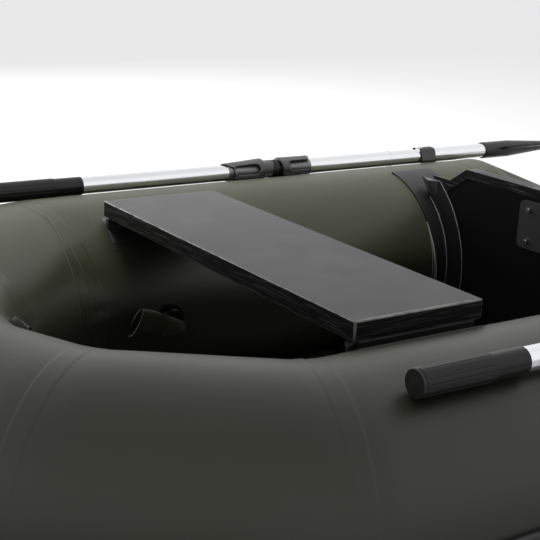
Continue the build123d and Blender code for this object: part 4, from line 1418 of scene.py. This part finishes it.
def floor_material():
    material, output = new_material("studio floor")
    path = add_node(material, "ShaderNodeLightPath")
    seen = add_node(
        material, "ShaderNodeMapRange",
        {"Value": path.outputs["Is Camera Ray"], "To Min": 0.0, "To Max": CAMERA_GLOW},
    )
    glow = add_node(
        material, "ShaderNodeMath",
        {0: path.outputs["Is Glossy Ray"], 1: MIRRORED_GLOW, 2: seen.outputs[0]},
        operation="MULTIPLY_ADD",
    )
    paper = add_node(material, "ShaderNodeBsdfDiffuse", {"Color": linear("#b4b4b4")})
    light = add_node(
        material, "ShaderNodeEmission", {"Color": linear("#ffffff"), "Strength": glow.outputs[0]}
    )
    both = add_node(material, "ShaderNodeAddShader", {0: paper.outputs[0], 1: light.outputs[0]})
    return finish_material(material, output, both)


def build_floor():
    mesh = bpy.data.meshes.new("studio_floor")
    corners = [(-1, -1), (1, -1), (1, 1), (-1, 1)]
    points = [(x * FLOOR_HALF, y * FLOOR_HALF, -FLOOR_DROP) for x, y in corners]
    mesh.from_pydata(points, [], [(0, 1, 2, 3)])
    mesh.materials.append(floor_material())
    floor = bpy.data.objects.new("studio_floor", mesh)
    bpy.context.scene.collection.objects.link(floor)


build_floor()
print("floor", 2 * FLOOR_HALF, "m wide")

# %% [markdown]
# ## Studio walls
# The camera sees the world as even white. Satin fabric and metal mirror it too, a little dimmer
# overhead, which is what models the dark tubes. It lights the boat only faintly, because the lamps
# do that.

# %% World
LIT = (0.02, 0.10)  # strength for diffuse light, from the horizon up
MIRRORED = (1.0, 0.74)  # strength in reflections, from the horizon up


def build_world():
    world = bpy.data.worlds.new("studio")
    world.use_nodes = True
    world.node_tree.nodes.clear()
    output = add_node(world, "ShaderNodeOutputWorld")
    path = add_node(world, "ShaderNodeLightPath")
    place = add_node(world, "ShaderNodeTexCoord").outputs["Generated"]
    rise = add_node(world, "ShaderNodeSeparateXYZ", {"Vector": place}).outputs["Z"]
    lit, mirrored = [
        add_node(
            world, "ShaderNodeMapRange",
            {"Value": rise, "From Min": start, "To Min": strength[0], "To Max": strength[1]},
        )
        for start, strength in ((0.1, LIT), (0.6, MIRRORED))
    ]
    lit_or_mirrored = add_node(
        world, "ShaderNodeMix",
        {0: path.outputs["Is Glossy Ray"], 2: lit.outputs[0], 3: mirrored.outputs[0]},
        data_type="FLOAT",
    )
    strength = add_node(
        world, "ShaderNodeMix",
        {0: path.outputs["Is Camera Ray"], 2: lit_or_mirrored.outputs[0], 3: 1.0},
        data_type="FLOAT",
    )
    sky = add_node(
        world, "ShaderNodeBackground", {"Color": linear("#ffffff"), "Strength": strength.outputs[0]}
    )
    finish_material(world, output, sky)
    bpy.context.scene.world = world


build_world()
bpy.context.scene.view_settings.view_transform = "Standard"
print("world ready:", bpy.context.scene.world.name)

# %% [markdown]
# ## Lamps
# A long softbox behind the boat, on its starboard side, lights the tops of the tubes and the board.
# A weak one overhead and a gridded one over the starboard tube fill in. They are hidden from glossy
# rays, because metal and satin cloth mirror the white studio instead.

# %% Softboxes


def soft_lamp(name, place, target, size, power, spread=180):
    """A rectangular lamp; places and sizes in metres, power in watts, spread in degrees."""
    lamp = bpy.data.lights.new(name, "AREA")
    lamp.shape = "RECTANGLE"
    lamp.size, lamp.size_y = size
    lamp.energy = power
    lamp.spread = math.radians(spread)
    obj = bpy.data.objects.new(name, lamp)
    obj.location = place
    aim = Vector(target) - Vector(place)
    obj.rotation_euler = aim.to_track_quat("-Z", "Y").to_euler()
    obj.visible_glossy = False
    bpy.context.scene.collection.objects.link(obj)


soft_lamp("back softbox", (0.1, -4.0, 2.2), (0.1, 0, 0.3), (3.6, 0.8), 120)
soft_lamp("overhead softbox", (0.1, -0.3, 3.6), (0.1, -0.3, 0.3), (2.5, 1.0), 10)
soft_lamp("gridded softbox", (0.1, -0.5, 2.0), (0.1, -0.5, 0.3), (2.6, 0.4), 6.5, 45)

# %% [markdown]
# ## Camera
# The camera looks over the port tube from ahead of the seat, with a fairly long lens. It is placed
# from the seat's near front corner, and turned by a yaw, a pitch and a small roll.

# %% Camera
FROM_CORNER = Vector((0.8995, 1.1239, 0.4846))
YAW, PITCH, ROLL = 0.59804, 0.28530, 0.04766  # radians
LENS_MM, SENSOR_MM = 80.1067, 36


def build_camera():
    place = Vector(seat_high) + FROM_CORNER
    flat = math.cos(PITCH)
    ahead = Vector((-math.sin(YAW) * flat, -math.cos(YAW) * flat, -math.sin(PITCH)))
    right = ahead.cross(UP).normalized()
    level = Matrix((right, right.cross(ahead), -ahead)).transposed()
    turned = level @ Matrix.Rotation(ROLL, 3, "Z")
    camera = bpy.data.cameras.new("camera")
    camera.sensor_width, camera.lens = SENSOR_MM, LENS_MM
    obj = bpy.data.objects.new("camera", camera)
    obj.matrix_world = Matrix.Translation(place) @ turned.to_4x4()
    bpy.context.scene.collection.objects.link(obj)
    bpy.context.scene.camera = obj
    return obj


camera = build_camera()
print("camera lens", round(camera.data.lens, 1), "mm")
